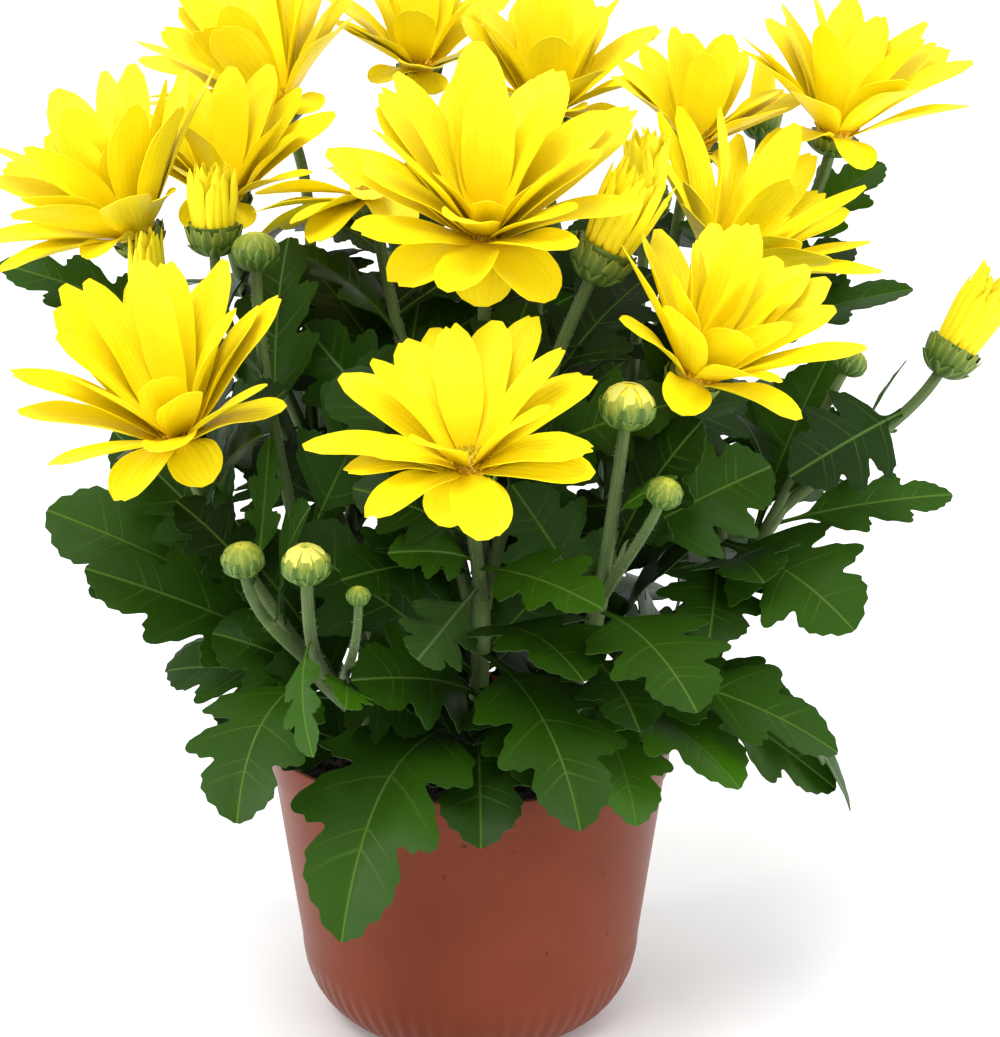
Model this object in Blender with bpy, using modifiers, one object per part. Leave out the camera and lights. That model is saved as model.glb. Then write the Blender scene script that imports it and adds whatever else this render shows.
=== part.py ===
"""Pot chrysanthemum in a thin plastic pot.

Metres, +Z up, the origin in the middle of the pot's flat foot. The plant's layout is written in millimetres,
as hand-chosen points, and turned into metres by the functions that read it. The front of the pot faces -Y.
"""

import math
import random

import bmesh
import bpy
from mathutils import Matrix, Vector
from mathutils.bvhtree import BVHTree

MM = 0.001
MERGE = 0.001 * MM
GAP = 0.3 * MM

# Pot: a lip, a tapered wall and a rounded lower corner
POT_HEIGHT = 88 * MM
RIM_RADIUS = 60 * MM
LIP_DEPTH = 9 * MM
LIP_DRAFT = 0.4 * MM
LIP_STEP = 1.0 * MM
LIP_STEP_FALL = 0.5 * MM
CORNER_RADIUS = 51.1 * MM
CORNER_HEIGHT = 26 * MM
FOOT_RADIUS = 30 * MM
WALL = 1.2 * MM
POT_SIDES = 24
CORNER_STEPS = 3
DRAIN_HOLES = 5
DRAIN_RADIUS = 4 * MM
DRAIN_CIRCLE = 20 * MM

# Soil, a little lower than the rim and highest in the middle
SOIL_TOP = 80 * MM
SOIL_EDGE = 76.5 * MM
SOIL_FLAT = 0.45
SOIL_FALL = 0.5 * MM
ROOT_BOTTOM = 58 * MM
HOLE_SPARE = 0.6 * MM
HOLE_SIDES = 8

# Green parts
STEM_REACH = 22 * MM
STEM_PULL = 0.9
MAIN_STEM_RADIUS = 2.4 * MM
CUP_BRACTS = 5
CUP_RADIUS = 7.2 * MM
CUP_DEPTH = 5.0 * MM
CUP_SCALLOP = 0.06
BUD_STRIPES = 5
BUD_RIB = 0.05
SUNK = 1.5 * MM
LEAF_THICKNESS = 0.7 * MM
LEAF_FOLD = 0.22
LEAF_WAVE = 0.02
LEAF_OUTWARD = 0.5
LEAF_ROWS = 7
LEAF_ROOT_ROWS = 2

# Yellow parts
PETAL_THICKNESS = 0.65 * MM
PETAL_CELLS = (3, 2)
PETAL_ROOT_CELLS = 1
PETAL_ROOT_WIDTH = 0.18
PETAL_FULL_FROM = 0.45
PETAL_FULL_TO = 0.75
PETAL_TIP_LOSS = 0.52
CORE_SIDES = 8
CORE_RADIUS = 5.8 * MM
CORE_HEIGHT = 4.4 * MM
HEAD_STRAPS = 7
STRAP_FLUTE = 0.07

# Outer and inner row of an open bloom: where its petals root, from the axis and above the cup in mm, and their
# length and width as shares of the bloom's own
PETAL_ROOTS = ((3.6, 2.0), (3.0, 3.2))
ROW_LENGTHS = (1.0, 0.94)
ROW_WIDTHS = (1.0, 0.92)

# How far one petal differs from the next: shares of the step, length and width, then degrees
TURN_SPREAD = 0.12
LENGTH_SPREAD = (0.90, 1.06)
WIDTH_SPREAD = (0.88, 1.05)
OPENING_SPREAD = 7.0
BEND_SPREAD = (-8.0, 12.0)
TWIST_SPREAD = 12.0

# How much further the petals on the pot's front side open, and those at the back less, in degrees
FRONT_OPENING = 12.0

# Half of the room that a blade needs, measured from its middle plane
CLEARANCE = 0.7 * MM

# Profiles from the top down, as shares of the radius and of the depth, height or, for a bud, the radius again
CUP_PROFILE = ((0.0, 1.0), (1.0, 1.0), (0.62, 0.15), (0.0, 0.0))
BUD_PROFILE = ((0.0, 1.8), (0.62, 1.62), (1.0, 1.0), (0.70, 0.25), (0.0, 0.0))
CORE_PROFILE = ((0.0, 1.0), (0.6, 0.85), (1.0, 0.0), (0.0, 0.0))

# Each stem: leafy stem it belongs to, where it starts (a place in the soil, or another stem and the share of
# its length), its end in mm, the azimuth and tilt that it ends with in degrees, and its two radii in mm
STEMS = {
    "front_left": ("front_left", (-22, -24), (-43, -62, 130), (-125, 35), (3.0, 2.3)),
    "bloom_1": ("front_left", ("front_left", 0.98), (-76, -55, 186), (-115, 24), (2.1, 1.7)),
    "bud_3": ("front_left", ("front_left", 0.90), (-57, -86, 161), (-110, 16), (1.8, 1.5)),
    "bud_2": ("front_left", ("front_left", 0.84), (-40, -100, 163), (-90, 14), (1.9, 1.6)),
    "bud_4": ("front_left", ("front_left", 0.72), (-27, -100, 157), (-80, 8), (1.5, 1.1)),
    "bud_1": ("front_left", ("front_left", 0.66), (-57, -38, 233), (-90, 3), (1.9, 1.6)),
    "head_6": ("front_left", ("front_left", 0.52), (-88, -27, 214), (-90, 4), (1.9, 1.6)),
    "front_middle": ("front_middle", (2, -31), (4, -60, 146), (-90, 20), (3.1, 2.4)),
    "bloom_2": ("front_middle", ("front_middle", 0.98), (1, -84, 184), (-95, 22), (2.0, 1.7)),
    "bloom_3": ("front_middle", ("front_middle", 0.86), (5, -45, 238), (-88, 25), (2.1, 1.7)),
    "head_1": ("front_middle", ("front_middle", 0.92), (33, -50, 232), (-10, 26), (2.0, 1.7)),
    "bloom_9": ("front_middle", ("front_middle", 0.74), (-26, 0, 241), (130, 12), (2.1, 1.7)),
    "bud_8": ("front_middle", ("front_middle", 0.60), (20, -4, 220), (-90, 6), (1.6, 1.3)),
    "front_right": ("front_right", (25, -20), (36, -64, 150), (-70, 18), (3.1, 2.4)),
    "bud_5": ("front_right", ("front_right", 0.98), (41, -82, 199), (-60, 12), (1.9, 1.6)),
    "bloom_4": ("front_right", ("front_right", 0.95), (58, -60, 203), (-35, 26), (2.0, 1.7)),
    "bud_6": ("front_right", ("front_right", 0.92), (50, -87, 180), (-50, 28), (1.6, 1.3)),
    "head_3": ("front_right", ("front_right", 0.78), (49, -20, 244), (-90, 6), (1.8, 1.5)),
    "right_shoot": ("front_right", ("front_right", 0.42), (88, -25, 163), (0, 26), (2.5, 2.1)),
    "head_4": ("front_right", ("right_shoot", 0.97), (132, -20, 201), (0, 30), (1.8, 1.6)),
    "bud_7": ("front_right", ("right_shoot", 0.92), (104, -30, 203), (20, 32), (1.5, 1.2)),
    "bloom_5": ("front_right", ("right_shoot", 0.66), (68, 0, 222), (-15, 30), (2.0, 1.7)),
    "back_right": ("back_right", (24, 20), (52, 30, 180), (30, 18), (3.1, 2.4)),
    "bloom_6": ("back_right", ("back_right", 0.85), (106, 30, 257), (-40, 14), (2.1, 1.7)),
    "head_5": ("back_right", ("back_right", 0.94), (88, 54, 259), (60, 5), (1.8, 1.5)),
    "bloom_13": ("back_right", ("back_right", 0.98), (65, 30, 255), (-60, 20), (2.0, 1.7)),
    "bloom_12": ("back_right", ("back_right", 0.74), (23, 62, 261), (-80, 18), (2.1, 1.7)),
    "back_left": ("back_left", (-24, 16), (-46, 16, 168), (165, 20), (3.1, 2.4)),
    "bloom_7": ("back_left", ("back_left", 0.90), (-90, -10, 234), (-160, 28), (2.0, 1.7)),
    "bloom_8": ("back_left", ("back_left", 0.96), (-72, 30, 239), (-90, 20), (2.0, 1.7)),
    "head_2": ("back_left", ("back_left", 0.80), (-69, -30, 236), (-90, 5), (1.8, 1.5)),
    "bloom_10": ("back_left", ("back_left", 0.98), (-56, 62, 263), (-165, 24), (2.0, 1.7)),
    "bloom_11": ("back_left", ("back_left", 0.70), (-17, 92, 272), (-80, 14), (2.1, 1.7)),
}

# Each open bloom, by the stem it stands on: petals in its outer and inner row, the petals' length and width
# in mm, how far each row opens from the axis in degrees, and how far a petal bends back towards its tip
BLOOMS = {
    "bloom_1": ((8, 5), (46, 14.5), (47, 26), 12),
    "bloom_2": ((8, 5), (39, 13.5), (62, 38), 26),
    "bloom_3": ((9, 6), (48, 15.5), (56, 34), 14),
    "bloom_4": ((7, 5), (42, 13.5), (43, 22), 14),
    "bloom_5": ((7, 4), (46, 12.0), (50, 24), 8),
    "bloom_6": ((7, 5), (41, 14.0), (46, 25), 16),
    "bloom_7": ((8, 5), (46, 15.0), (47, 24), 10),
    "bloom_8": ((7, 4), (37, 13.5), (48, 24), 10),
    "bloom_9": ((7, 4), (34, 13.5), (104, 80), 20),
    "bloom_10": ((7, 5), (48, 16.0), (54, 30), 12),
    "bloom_11": ((7, 4), (34, 14.0), (52, 26), 12),
    "bloom_12": ((7, 4), (40, 15.0), (48, 26), 12),
    "bloom_13": ((6, 4), (32, 13.0), (46, 24), 12),
}

# Each half-open head: the radius and depth of its green cup, the height and top radius of its yellow bunch,
# and how far the tips stand above the notches between them, all in mm
HEADS = {
    "head_1": (8.2, 8.5, 25, 9.8, 6.0),
    "head_2": (7.2, 7.0, 18, 7.4, 4.0),
    "head_3": (6.8, 7.0, 18, 6.4, 4.0),
    "head_4": (7.6, 8.0, 26, 8.0, 7.0),
    "head_5": (5.6, 7.0, 19, 2.6, 3.0),
    "head_6": (6.2, 7.0, 22, 5.0, 8.0),
}

# Each bud's radius in mm
BUDS = {
    "bud_1": 6.8,
    "bud_2": 6.5,
    "bud_3": 5.8,
    "bud_4": 3.1,
    "bud_5": 7.6,
    "bud_6": 4.9,
    "bud_7": 5.0,
    "bud_8": 4.2,
}

# Each leaf: the stem it grows from and the share of that stem's length, its tip in mm, its full width and
# how high its middle arches in mm, and how far it is rolled about its length in degrees
LEAVES = (
    ("front_middle", 0.50, (-33, -94, 62), 48, 24, 0),
    ("front_left", 0.92, (-60, -93, 95), 42, 10, 5),
    ("front_middle", 0.80, (30, -93, 93), 43, 9, -10),
    ("front_right", 0.50, (74, -70, 96), 42, 9, 0),
    ("bloom_5", 0.16, (106, -54, 136), 44, 6, 30),
    ("front_right", 0.93, (60, -94, 126), 42, 5, 0),
    ("front_right", 0.66, (102, -58, 102), 34, 8, 15),
    ("right_shoot", 0.40, (112, -18, 70), 22, 12, 15),
    ("right_shoot", 0.28, (93, -50, 108), 26, 7, 0),
    ("head_6", 0.30, (-118, -30, 164), 40, 5, -40),
    ("head_6", 0.20, (-105, -48, 152), 32, 5, -25),
    ("bloom_7", 0.62, (-137, 14, 227), 22, 3, -35),
    ("right_shoot", 0.93, (139, -12, 164), 18, 3, 35),
    ("bloom_6", 0.36, (130, 16, 219), 28, 3, 35),
    ("bloom_6", 0.50, (116, 40, 228), 26, 3, 35),
    ("right_shoot", 0.85, (103, -6, 203), 36, 2, -60),
    ("bloom_6", 0.66, (124, 42, 253), 26, 3, 30),
    ("bloom_2", 0.34, (35, -98, 155), 26, 3, 10),
    ("bloom_2", 0.20, (-12, -99, 142), 22, 3, 150),
    ("front_left", 0.78, (-85, -34, 118), 28, 6, -20),
    ("bloom_2", 0.40, (-20, -84, 166), 17, 3, -30),
    ("front_middle", 0.40, (4, -88, 86), 38, 12, 0),
    ("head_6", 0.44, (-99, -27, 186), 28, 4, -40),
    ("bloom_3", 0.30, (-30, -42, 204), 32, 4, -40),
    ("bud_1", 0.40, (-18, -36, 212), 30, 3, 40),
    ("front_middle", 0.70, (-50, -56, 164), 38, 6, -40),
    ("front_middle", 0.88, (40, -84, 134), 40, 6, 10),
    ("front_right", 0.90, (12, -66, 180), 30, 4, -40),
    ("bloom_4", 0.30, (82, -54, 182), 34, 5, 35),
    ("right_shoot", 0.70, (80, -62, 152), 34, 6, 10),
    ("head_1", 0.30, (30, -46, 194), 26, 4, 20),
    ("bloom_5", 0.45, (112, -4, 188), 34, 4, 40),
    ("bloom_9", 0.45, (-46, -14, 214), 30, 4, -40),
    ("back_left", 0.62, (-116, 22, 136), 40, 10, 0),
    ("back_left", 0.42, (-90, -4, 108), 36, 10, 0),
    ("back_left", 0.36, (-60, 66, 100), 38, 11, 0),
    ("back_left", 0.80, (-86, 76, 166), 38, 9, 0),
    ("back_left", 0.74, (-20, 88, 160), 38, 9, 0),
    ("back_right", 0.34, (6, 86, 96), 38, 11, 0),
    ("back_right", 0.44, (76, 68, 104), 38, 11, 0),
    ("back_right", 0.56, (108, 32, 126), 40, 10, 10),
    ("back_right", 0.70, (42, 100, 158), 38, 9, 0),
    ("back_right", 0.82, (112, 66, 180), 38, 8, 0),
    ("front_middle", 0.62, (-30, -86, 132), 34, 5, -20),
    ("bloom_10", 0.40, (-94, 88, 208), 32, 7, 0),
)

# A leaf's outline as shares of its length: place on the midrib, place of the edge along it, half of the width
# as a share of the full width. The lobes point forward, so the edge runs ahead of the midrib.
LEAF_OUTLINE = (
    (0.00, 0.00, 0.045),
    (0.23, 0.22, 0.050),
    (0.38, 0.46, 0.500),
    (0.49, 0.51, 0.300),
    (0.60, 0.69, 0.480),
    (0.70, 0.72, 0.280),
    (0.85, 0.88, 0.270),
    (1.00, 1.00, 0.030),
)

GREEN = (0.035, 0.10, 0.018)
YELLOW = (0.95, 0.74, 0.01)
TERRACOTTA = (0.21, 0.050, 0.028)
PEAT = (0.035, 0.024, 0.017)


def mm(*values):
    return Vector(values) * MM


def lean(azimuth, tilt):
    """The direction that leans TILT degrees from upright, towards AZIMUTH."""
    turn = math.radians(azimuth)
    fall = math.radians(tilt)
    return Vector((math.sin(fall) * math.cos(turn), math.sin(fall) * math.sin(turn), math.cos(fall)))


def upright_to(direction, place):
    """The matrix that stands a shape made round +Z on PLACE, along DIRECTION."""
    turn = direction.to_track_quat("Z", "Y").to_matrix().to_4x4()
    return Matrix.Translation(place) @ turn


def start_empty():
    for leftover in list(bpy.data.objects):
        bpy.data.objects.remove(leftover, do_unlink=True)


def new_collection(name):
    made = bpy.data.collections.new(name)
    bpy.context.scene.collection.children.link(made)
    return made


def material(name, colour, roughness):
    made = bpy.data.materials.new(name)
    made.use_nodes = True
    shader = made.node_tree.nodes["Principled BSDF"]
    shader.inputs["Base Color"].default_value = (*colour, 1.0)
    shader.inputs["Roughness"].default_value = roughness
    shader.inputs["Metallic"].default_value = 0.0
    return made


def make_object(name, mesh, collection):
    made = bpy.data.objects.new(name, mesh)
    collection.objects.link(made)
    return made


def applied(piece):
    """PIECE with its modifiers made part of its mesh, its transform too."""
    bpy.context.view_layer.update()
    seen = piece.evaluated_get(bpy.context.evaluated_depsgraph_get())
    mesh = bpy.data.meshes.new_from_object(seen)
    mesh.transform(piece.matrix_world)
    piece.modifiers.clear()
    piece.data = mesh
    piece.matrix_world = Matrix.Identity(4)
    return piece


def turned(name, profile, sides, collection):
    """A solid turned round Z from PROFILE, which runs from the axis to the axis and down the outer side."""
    mesh = bpy.data.meshes.new(name)
    edges = [(i, i + 1) for i in range(len(profile) - 1)]
    mesh.from_pydata([(radius, 0.0, height) for radius, height in profile], edges, [])
    piece = make_object(name, mesh, collection)
    screw = piece.modifiers.new("Turn", "SCREW")
    screw.steps = sides
    screw.render_steps = sides
    screw.use_merge_vertices = True
    screw.merge_threshold = MERGE
    return applied(piece)


def tube(name, points, radii, collection):
    """A tapered stem along POINTS, made a closed mesh."""
    curve = bpy.data.curves.new(name, "CURVE")
    curve.dimensions = "3D"
    curve.bevel_depth = 1.0
    curve.bevel_resolution = 1 if radii[0] > MAIN_STEM_RADIUS else 0
    curve.use_fill_caps = True
    spline = curve.splines.new("POLY")
    spline.points.add(len(points) - 1)
    for index, point in enumerate(points):
        share = index / (len(points) - 1)
        spline.points[index].co = (*point, 1.0)
        spline.points[index].radius = radii[0] + (radii[1] - radii[0]) * share
    drawn = make_object(name, curve, collection)
    bpy.context.view_layer.update()
    seen = drawn.evaluated_get(bpy.context.evaluated_depsgraph_get())
    mesh = bpy.data.meshes.new_from_object(seen)
    cage = bmesh.new()
    cage.from_mesh(mesh)
    bmesh.ops.remove_doubles(cage, verts=cage.verts, dist=MERGE)
    bmesh.ops.recalc_face_normals(cage, faces=cage.faces)
    cage.to_mesh(mesh)
    cage.free()
    piece = make_object(name, mesh, collection)
    piece.matrix_world = drawn.matrix_world
    bpy.data.objects.remove(drawn, do_unlink=True)
    return piece


def scalloped(piece, lobes, depth, rise=0.0, above=0.0):
    """Moves PIECE's points out and in round Z, LOBES times, and lifts those over ABOVE in the same beat."""
    for point in piece.data.vertices:
        beat = math.cos(lobes * math.atan2(point.co.y, point.co.x))
        out = 1.0 + depth * beat
        point.co.x *= out
        point.co.y *= out
        if point.co.z > above:
            point.co.z += rise * beat
    return piece


def fused(name, core, pieces, collection):
    """CORE and PIECES as one body in a node of their own."""
    joined = bpy.data.collections.new(name + " pieces")
    bpy.context.scene.collection.children.link(joined)
    for piece in pieces:
        for home in list(piece.users_collection):
            home.objects.unlink(piece)
        joined.objects.link(piece)
    union = core.modifiers.new("Join", "BOOLEAN")
    union.operation = "UNION"
    union.operand_type = "COLLECTION"
    union.collection = joined
    union.solver = "EXACT"
    body = applied(core)
    for piece in list(joined.objects):
        bpy.data.objects.remove(piece, do_unlink=True)
    bpy.data.collections.remove(joined)
    body.name = name
    return body


def shaded(piece, look, angle=50.0):
    piece.data.materials.clear()
    piece.data.materials.append(look)
    piece.data.shade_smooth()
    piece.data.set_sharp_from_angle(angle=math.radians(angle))
    return piece


def corner_profile(top_radius, foot_radius, height):
    """The rounded lower corner of the pot as points from its top to the foot."""
    points = []
    for step in range(CORNER_STEPS + 1):
        turn = 0.5 * math.pi * step / CORNER_STEPS
        radius = foot_radius + (top_radius - foot_radius) * math.cos(turn)
        points.append((radius, height * (1.0 - math.sin(turn))))
    return points


def pot_profile():
    lip_foot = POT_HEIGHT - LIP_DEPTH
    step_foot = lip_foot - LIP_STEP_FALL
    under_lip = RIM_RADIUS - LIP_DRAFT - LIP_STEP
    outer = [(RIM_RADIUS, POT_HEIGHT), (RIM_RADIUS - LIP_DRAFT, lip_foot), (under_lip, step_foot)]
    outer += corner_profile(CORNER_RADIUS, FOOT_RADIUS, CORNER_HEIGHT)
    outer.append((0.0, 0.0))
    return outer


def inside_profile(inset, floor):
    """The pot's inner wall, INSET from the outer one, from just above the lip's step down to the axis."""
    step_foot = POT_HEIGHT - LIP_DEPTH - LIP_STEP_FALL
    under_lip = RIM_RADIUS - LIP_DRAFT - LIP_STEP
    points = [(under_lip - inset, step_foot)]
    for radius, height in corner_profile(CORNER_RADIUS, FOOT_RADIUS, CORNER_HEIGHT):
        points.append((radius - inset, height * (1.0 - floor / CORNER_HEIGHT) + floor))
    points.append((0.0, floor))
    return points


def make_pot(collection, look):
    inner = inside_profile(WALL, WALL)
    profile = list(reversed(inner)) + [(RIM_RADIUS - WALL, POT_HEIGHT)] + pot_profile()
    pot = turned("pot", profile, POT_SIDES, collection)
    for index in range(DRAIN_HOLES):
        turn = 2.0 * math.pi * index / DRAIN_HOLES
        place = (DRAIN_CIRCLE * math.cos(turn), DRAIN_CIRCLE * math.sin(turn), 0.0)
        drill(pot, place, DRAIN_RADIUS, 4.0 * WALL)
    return shaded(pot, look, 35.0)


def drill(piece, place, radius, depth):
    """Cuts a round hole of DEPTH, half above and half below PLACE."""
    bpy.ops.mesh.primitive_cylinder_add(vertices=HOLE_SIDES, radius=radius, depth=depth, location=place)
    cutter = bpy.context.active_object
    cut = piece.modifiers.new("Hole", "BOOLEAN")
    cut.operation = "DIFFERENCE"
    cut.solver = "EXACT"
    cut.object = cutter
    applied(piece)
    bpy.data.objects.remove(cutter, do_unlink=True)


def make_soil(collection, look):
    wall = inside_profile(WALL + GAP, WALL + GAP)
    slope = (wall[1][0] - wall[0][0]) / (wall[1][1] - wall[0][1])
    edge = wall[0][0] + slope * (SOIL_EDGE - wall[0][1])
    top = [(0.0, SOIL_TOP), (SOIL_FLAT * edge, SOIL_TOP - SOIL_FALL), (edge, SOIL_EDGE)]
    soil = turned("soil", top + wall[1:], POT_SIDES, collection)
    for _, start, _, _, radii in STEMS.values():
        if isinstance(start[0], str):
            continue
        depth = 2.0 * (POT_HEIGHT - ROOT_BOTTOM)
        place = (*mm(*start), POT_HEIGHT)
        drill(soil, place, radii[0] * MM + HOLE_SPARE, depth + 2.0 * GAP)
    return shaded(soil, look)


def hermite(start, leave, end, arrive, share):
    """A point on the smooth curve from START to END, which leaves along LEAVE and comes in along ARRIVE."""
    square = share * share
    cube = square * share
    point = start * (2.0 * cube - 3.0 * square + 1.0)
    point += leave * (cube - 2.0 * square + share)
    point += end * (3.0 * square - 2.0 * cube)
    point += arrive * (cube - square)
    return point


def stem_points():
    """Every stem's points in metres, by name, worked out from the parents to the tips."""
    routes = {}
    for name, (_, start, end, aim, _) in STEMS.items():
        end = mm(*end)
        before = []
        if isinstance(start[0], str):
            origin, along = on_route(routes[start[0]], start[1])
            leave = (along + (end - origin).normalized()).normalized()
        else:
            before = [Vector((*mm(*start), ROOT_BOTTOM + GAP))]
            origin = Vector((*mm(*start), SOIL_TOP + MM))
            leave = Vector((0.0, 0.0, 1.0))
        reach = (end - origin).length
        steps = max(3, round(reach / STEM_REACH))
        pull = STEM_PULL * reach
        arrive = lean(*aim) * pull
        curve = [hermite(origin, leave * pull, end, arrive, step / steps) for step in range(steps + 1)]
        routes[name] = before + curve
    return routes


def on_route(points, share):
    """The point at SHARE of the number of stretches along POINTS, and the direction there."""
    place = share * (len(points) - 1)
    index = min(int(place), len(points) - 2)
    step = points[index + 1] - points[index]
    return points[index] + step * (place - index), step.normalized()


def make_cup(name, radius, depth, collection):
    """The green bracts under a head as a scalloped cup, made round +Z from the stem's end up."""
    profile = [(out * radius, up * depth) for out, up in CUP_PROFILE]
    cup = turned(name, profile, 2 * CUP_BRACTS, collection)
    return scalloped(cup, CUP_BRACTS, CUP_SCALLOP)


def make_bud(name, radius, collection):
    """A closed bud: a slightly flattened ball with a rib for each bract."""
    profile = [(out * radius, up * radius) for out, up in BUD_PROFILE]
    bud = turned(name, profile, 2 * BUD_STRIPES, collection)
    return scalloped(bud, BUD_STRIPES, BUD_RIB)


def leaf_surface(base, tip, width, bow, roll):
    """A function from the share along and the share across to a point of the leaf."""
    chord = tip - base
    length = chord.length
    along = chord.normalized()
    skyward = Vector((tip.x, tip.y, 0.0)).normalized() * LEAF_OUTWARD + Vector((0.0, 0.0, 1.0))
    face = (skyward - along * along.dot(skyward)).normalized()
    face = Matrix.Rotation(math.radians(roll), 3, along) @ face
    side = along.cross(face)

    def point(forward, across):
        middle = base + chord * forward + face * (4.0 * bow * forward * (1.0 - forward))
        run = (chord + face * (4.0 * bow * (1.0 - 2.0 * forward))).normalized()
        lift = abs(across) * LEAF_FOLD * (1.0 - 0.6 * abs(across) * 2.0)
        wave = LEAF_WAVE * math.sin(9.0 * forward + 3.0 * across)
        up = side.cross(run)
        return middle + side * (across * width) + up * (lift * width + wave * across * length)

    return point


def petal_surface(stand, turn, root, length, width, opening, bend, twist):
    """A function from (share along, share across) to a point of the petal; STAND is the bloom's matrix."""
    out = Vector((math.cos(turn), math.sin(turn), 0.0))
    up = Vector((0.0, 0.0, 1.0))
    side = up.cross(out)
    first = opening - 0.4 * bend
    sweep = max(bend, math.radians(1.0))
    place = stand @ Matrix.Translation(out * root[0] + up * root[1])

    def point(along, across):
        angle = first + sweep * along
        reach = (math.cos(first) - math.cos(angle)) * length / sweep
        rise = (math.sin(angle) - math.sin(first)) * length / sweep
        tilt = twist * min(1.0, 2.0 * along)
        inward = up * math.sin(angle) - out * math.cos(angle)
        flat = side * math.cos(tilt) + inward * math.sin(tilt)
        return place @ (out * reach + up * rise + flat * (0.5 * width * across))

    return point


def petal_half_width(along):
    """The petal's width at a share of its length, as a share of its full width."""
    if along < PETAL_FULL_FROM:
        gain = math.sin(0.5 * math.pi * along / PETAL_FULL_FROM)
        return PETAL_ROOT_WIDTH + (1.0 - PETAL_ROOT_WIDTH) * gain
    if along < PETAL_FULL_TO:
        return 1.0
    return 1.0 - PETAL_TIP_LOSS * ((along - PETAL_FULL_TO) / (1.0 - PETAL_FULL_TO)) ** 2


def blade_cage(columns, rows, place):
    """A grid of triangles whose points PLACE moves; it is split before the move, so both faces are alike."""
    cage = bmesh.new()
    bmesh.ops.create_grid(cage, x_segments=columns, y_segments=rows, size=0.5)
    bmesh.ops.triangulate(cage, faces=cage.faces, quad_method="FIXED")
    row = cage.verts.layers.int.new("row")
    for corner in cage.verts:
        across = round((corner.co.x + 0.5) * columns)
        along = round((corner.co.y + 0.5) * rows)
        corner[row] = along
        corner.co = place(along, across)
    cage.verts.index_update()
    cage.normal_update()
    return cage


def petal_cage(surface, cells):
    def place(along, across):
        share = along / cells
        return surface(share, (2.0 * across - 1.0) * petal_half_width(share))

    return blade_cage(1, cells, place)


def leaf_cage(surface):
    def place(along, across):
        middle, edge, half = LEAF_OUTLINE[along]
        if across == 1:
            return surface(middle, 0.0)
        return surface(edge, (across - 1.0) * half)

    return blade_cage(2, LEAF_ROWS, place)


def blade(name, cage, thickness, collection):
    mesh = bpy.data.meshes.new(name)
    cage.to_mesh(mesh)
    piece = make_object(name, mesh, collection)
    skin = piece.modifiers.new("Blade", "SOLIDIFY")
    skin.thickness = thickness
    skin.offset = 0.0
    return applied(piece)


class Shape:
    """A surface with the box round it, for finding out whether it crosses another."""

    def __init__(self, corners, faces):
        self.low = [min(corner[axis] for corner in corners) for axis in range(3)]
        self.high = [max(corner[axis] for corner in corners) for axis in range(3)]
        self.tree = BVHTree.FromPolygons(corners, faces)

    def crosses(self, other):
        for axis in range(3):
            if self.low[axis] > other.high[axis] or self.high[axis] < other.low[axis]:
                return False
        return bool(self.tree.overlap(other.tree))


class Neighbours:
    """The shapes placed so far. A new blade stays clear of other nodes with all of its length, and of its own
    node with the part beyond its root."""

    def __init__(self):
        self.placed = []

    def add_piece(self, node, piece):
        corners = [piece.matrix_world @ point.co for point in piece.data.vertices]
        whole = Shape(corners, [tuple(face.vertices) for face in piece.data.polygons])
        self.placed.append((node, whole, whole))

    def clear(self, node, whole, free):
        for other, other_whole, other_free in self.placed:
            if other == node and free.crosses(other_free):
                return False
            if other != node and whole.crosses(other_whole):
                return False
        return True


def thick_skin(cage, first_row):
    """The two faces of a blade from FIRST_ROW on, each CLEARANCE from its middle plane."""
    rows = cage.verts.layers.int["row"]
    corners = [corner.co + corner.normal * CLEARANCE for corner in cage.verts]
    corners += [corner.co - corner.normal * CLEARANCE for corner in cage.verts]
    count = len(cage.verts)
    faces = []
    for face in cage.faces:
        if min(corner[rows] for corner in face.verts) < first_row:
            continue
        front = tuple(corner.index for corner in face.verts)
        faces.append(front)
        faces.append(tuple(index + count for index in front))
    used = sorted({index for face in faces for index in face})
    place = {index: order for order, index in enumerate(used)}
    return Shape([corners[index] for index in used], [tuple(place[index] for index in face) for face in faces])


def first_clear(node, neighbours, cages, root_rows):
    """The first of CAGES that is clear of what stands already, or None."""
    for cage in cages:
        whole = thick_skin(cage, 0)
        free = thick_skin(cage, root_rows)
        if neighbours.clear(node, whole, free):
            neighbours.placed.append((node, whole, free))
            return cage
        cage.free()
    return None


def petal_bends():
    """Changes of opening in degrees, of azimuth in degrees and of length, tried in this order."""
    for share in (1.0, 0.86, 0.72):
        for opening in (0, -8, 8, -16, 16, -24, 24):
            for azimuth in (0, -7, 7):
                yield opening, azimuth, share


def leaf_bends():
    """Changes of azimuth, of lift and of roll in degrees and of size, tried in this order."""
    for share in (1.0, 0.85, 0.7):
        for lift in (0, -8, 8, -16, 16, -26, 26):
            for azimuth in (0, -8, 8, -16, 16, -26, 26):
                for roll in (0, 20, -20):
                    yield azimuth, lift, roll, share


def bent_tip(base, tip, azimuth, lift, share):
    """TIP swung about BASE."""
    reach = (tip - base) * share
    reach = Matrix.Rotation(math.radians(azimuth), 3, "Z") @ reach
    level = Vector((reach.y, -reach.x, 0.0)).normalized()
    return base + Matrix.Rotation(math.radians(lift), 3, level) @ reach


def leaf_cages(base, tip, width, bow, roll):
    for azimuth, lift, turn, share in leaf_bends():
        moved = bent_tip(base, tip, azimuth, lift, share)
        yield leaf_cage(leaf_surface(base, moved, width * share, bow * share, roll + turn))


def front_turn(name):
    """The azimuth, in a head's own frame, that faces the pot's front."""
    front = upright_to(lean(*STEMS[name][3]), Vector()).inverted() @ Vector((0.0, -1.0, 0.0))
    return math.atan2(front.y, front.x)


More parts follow.
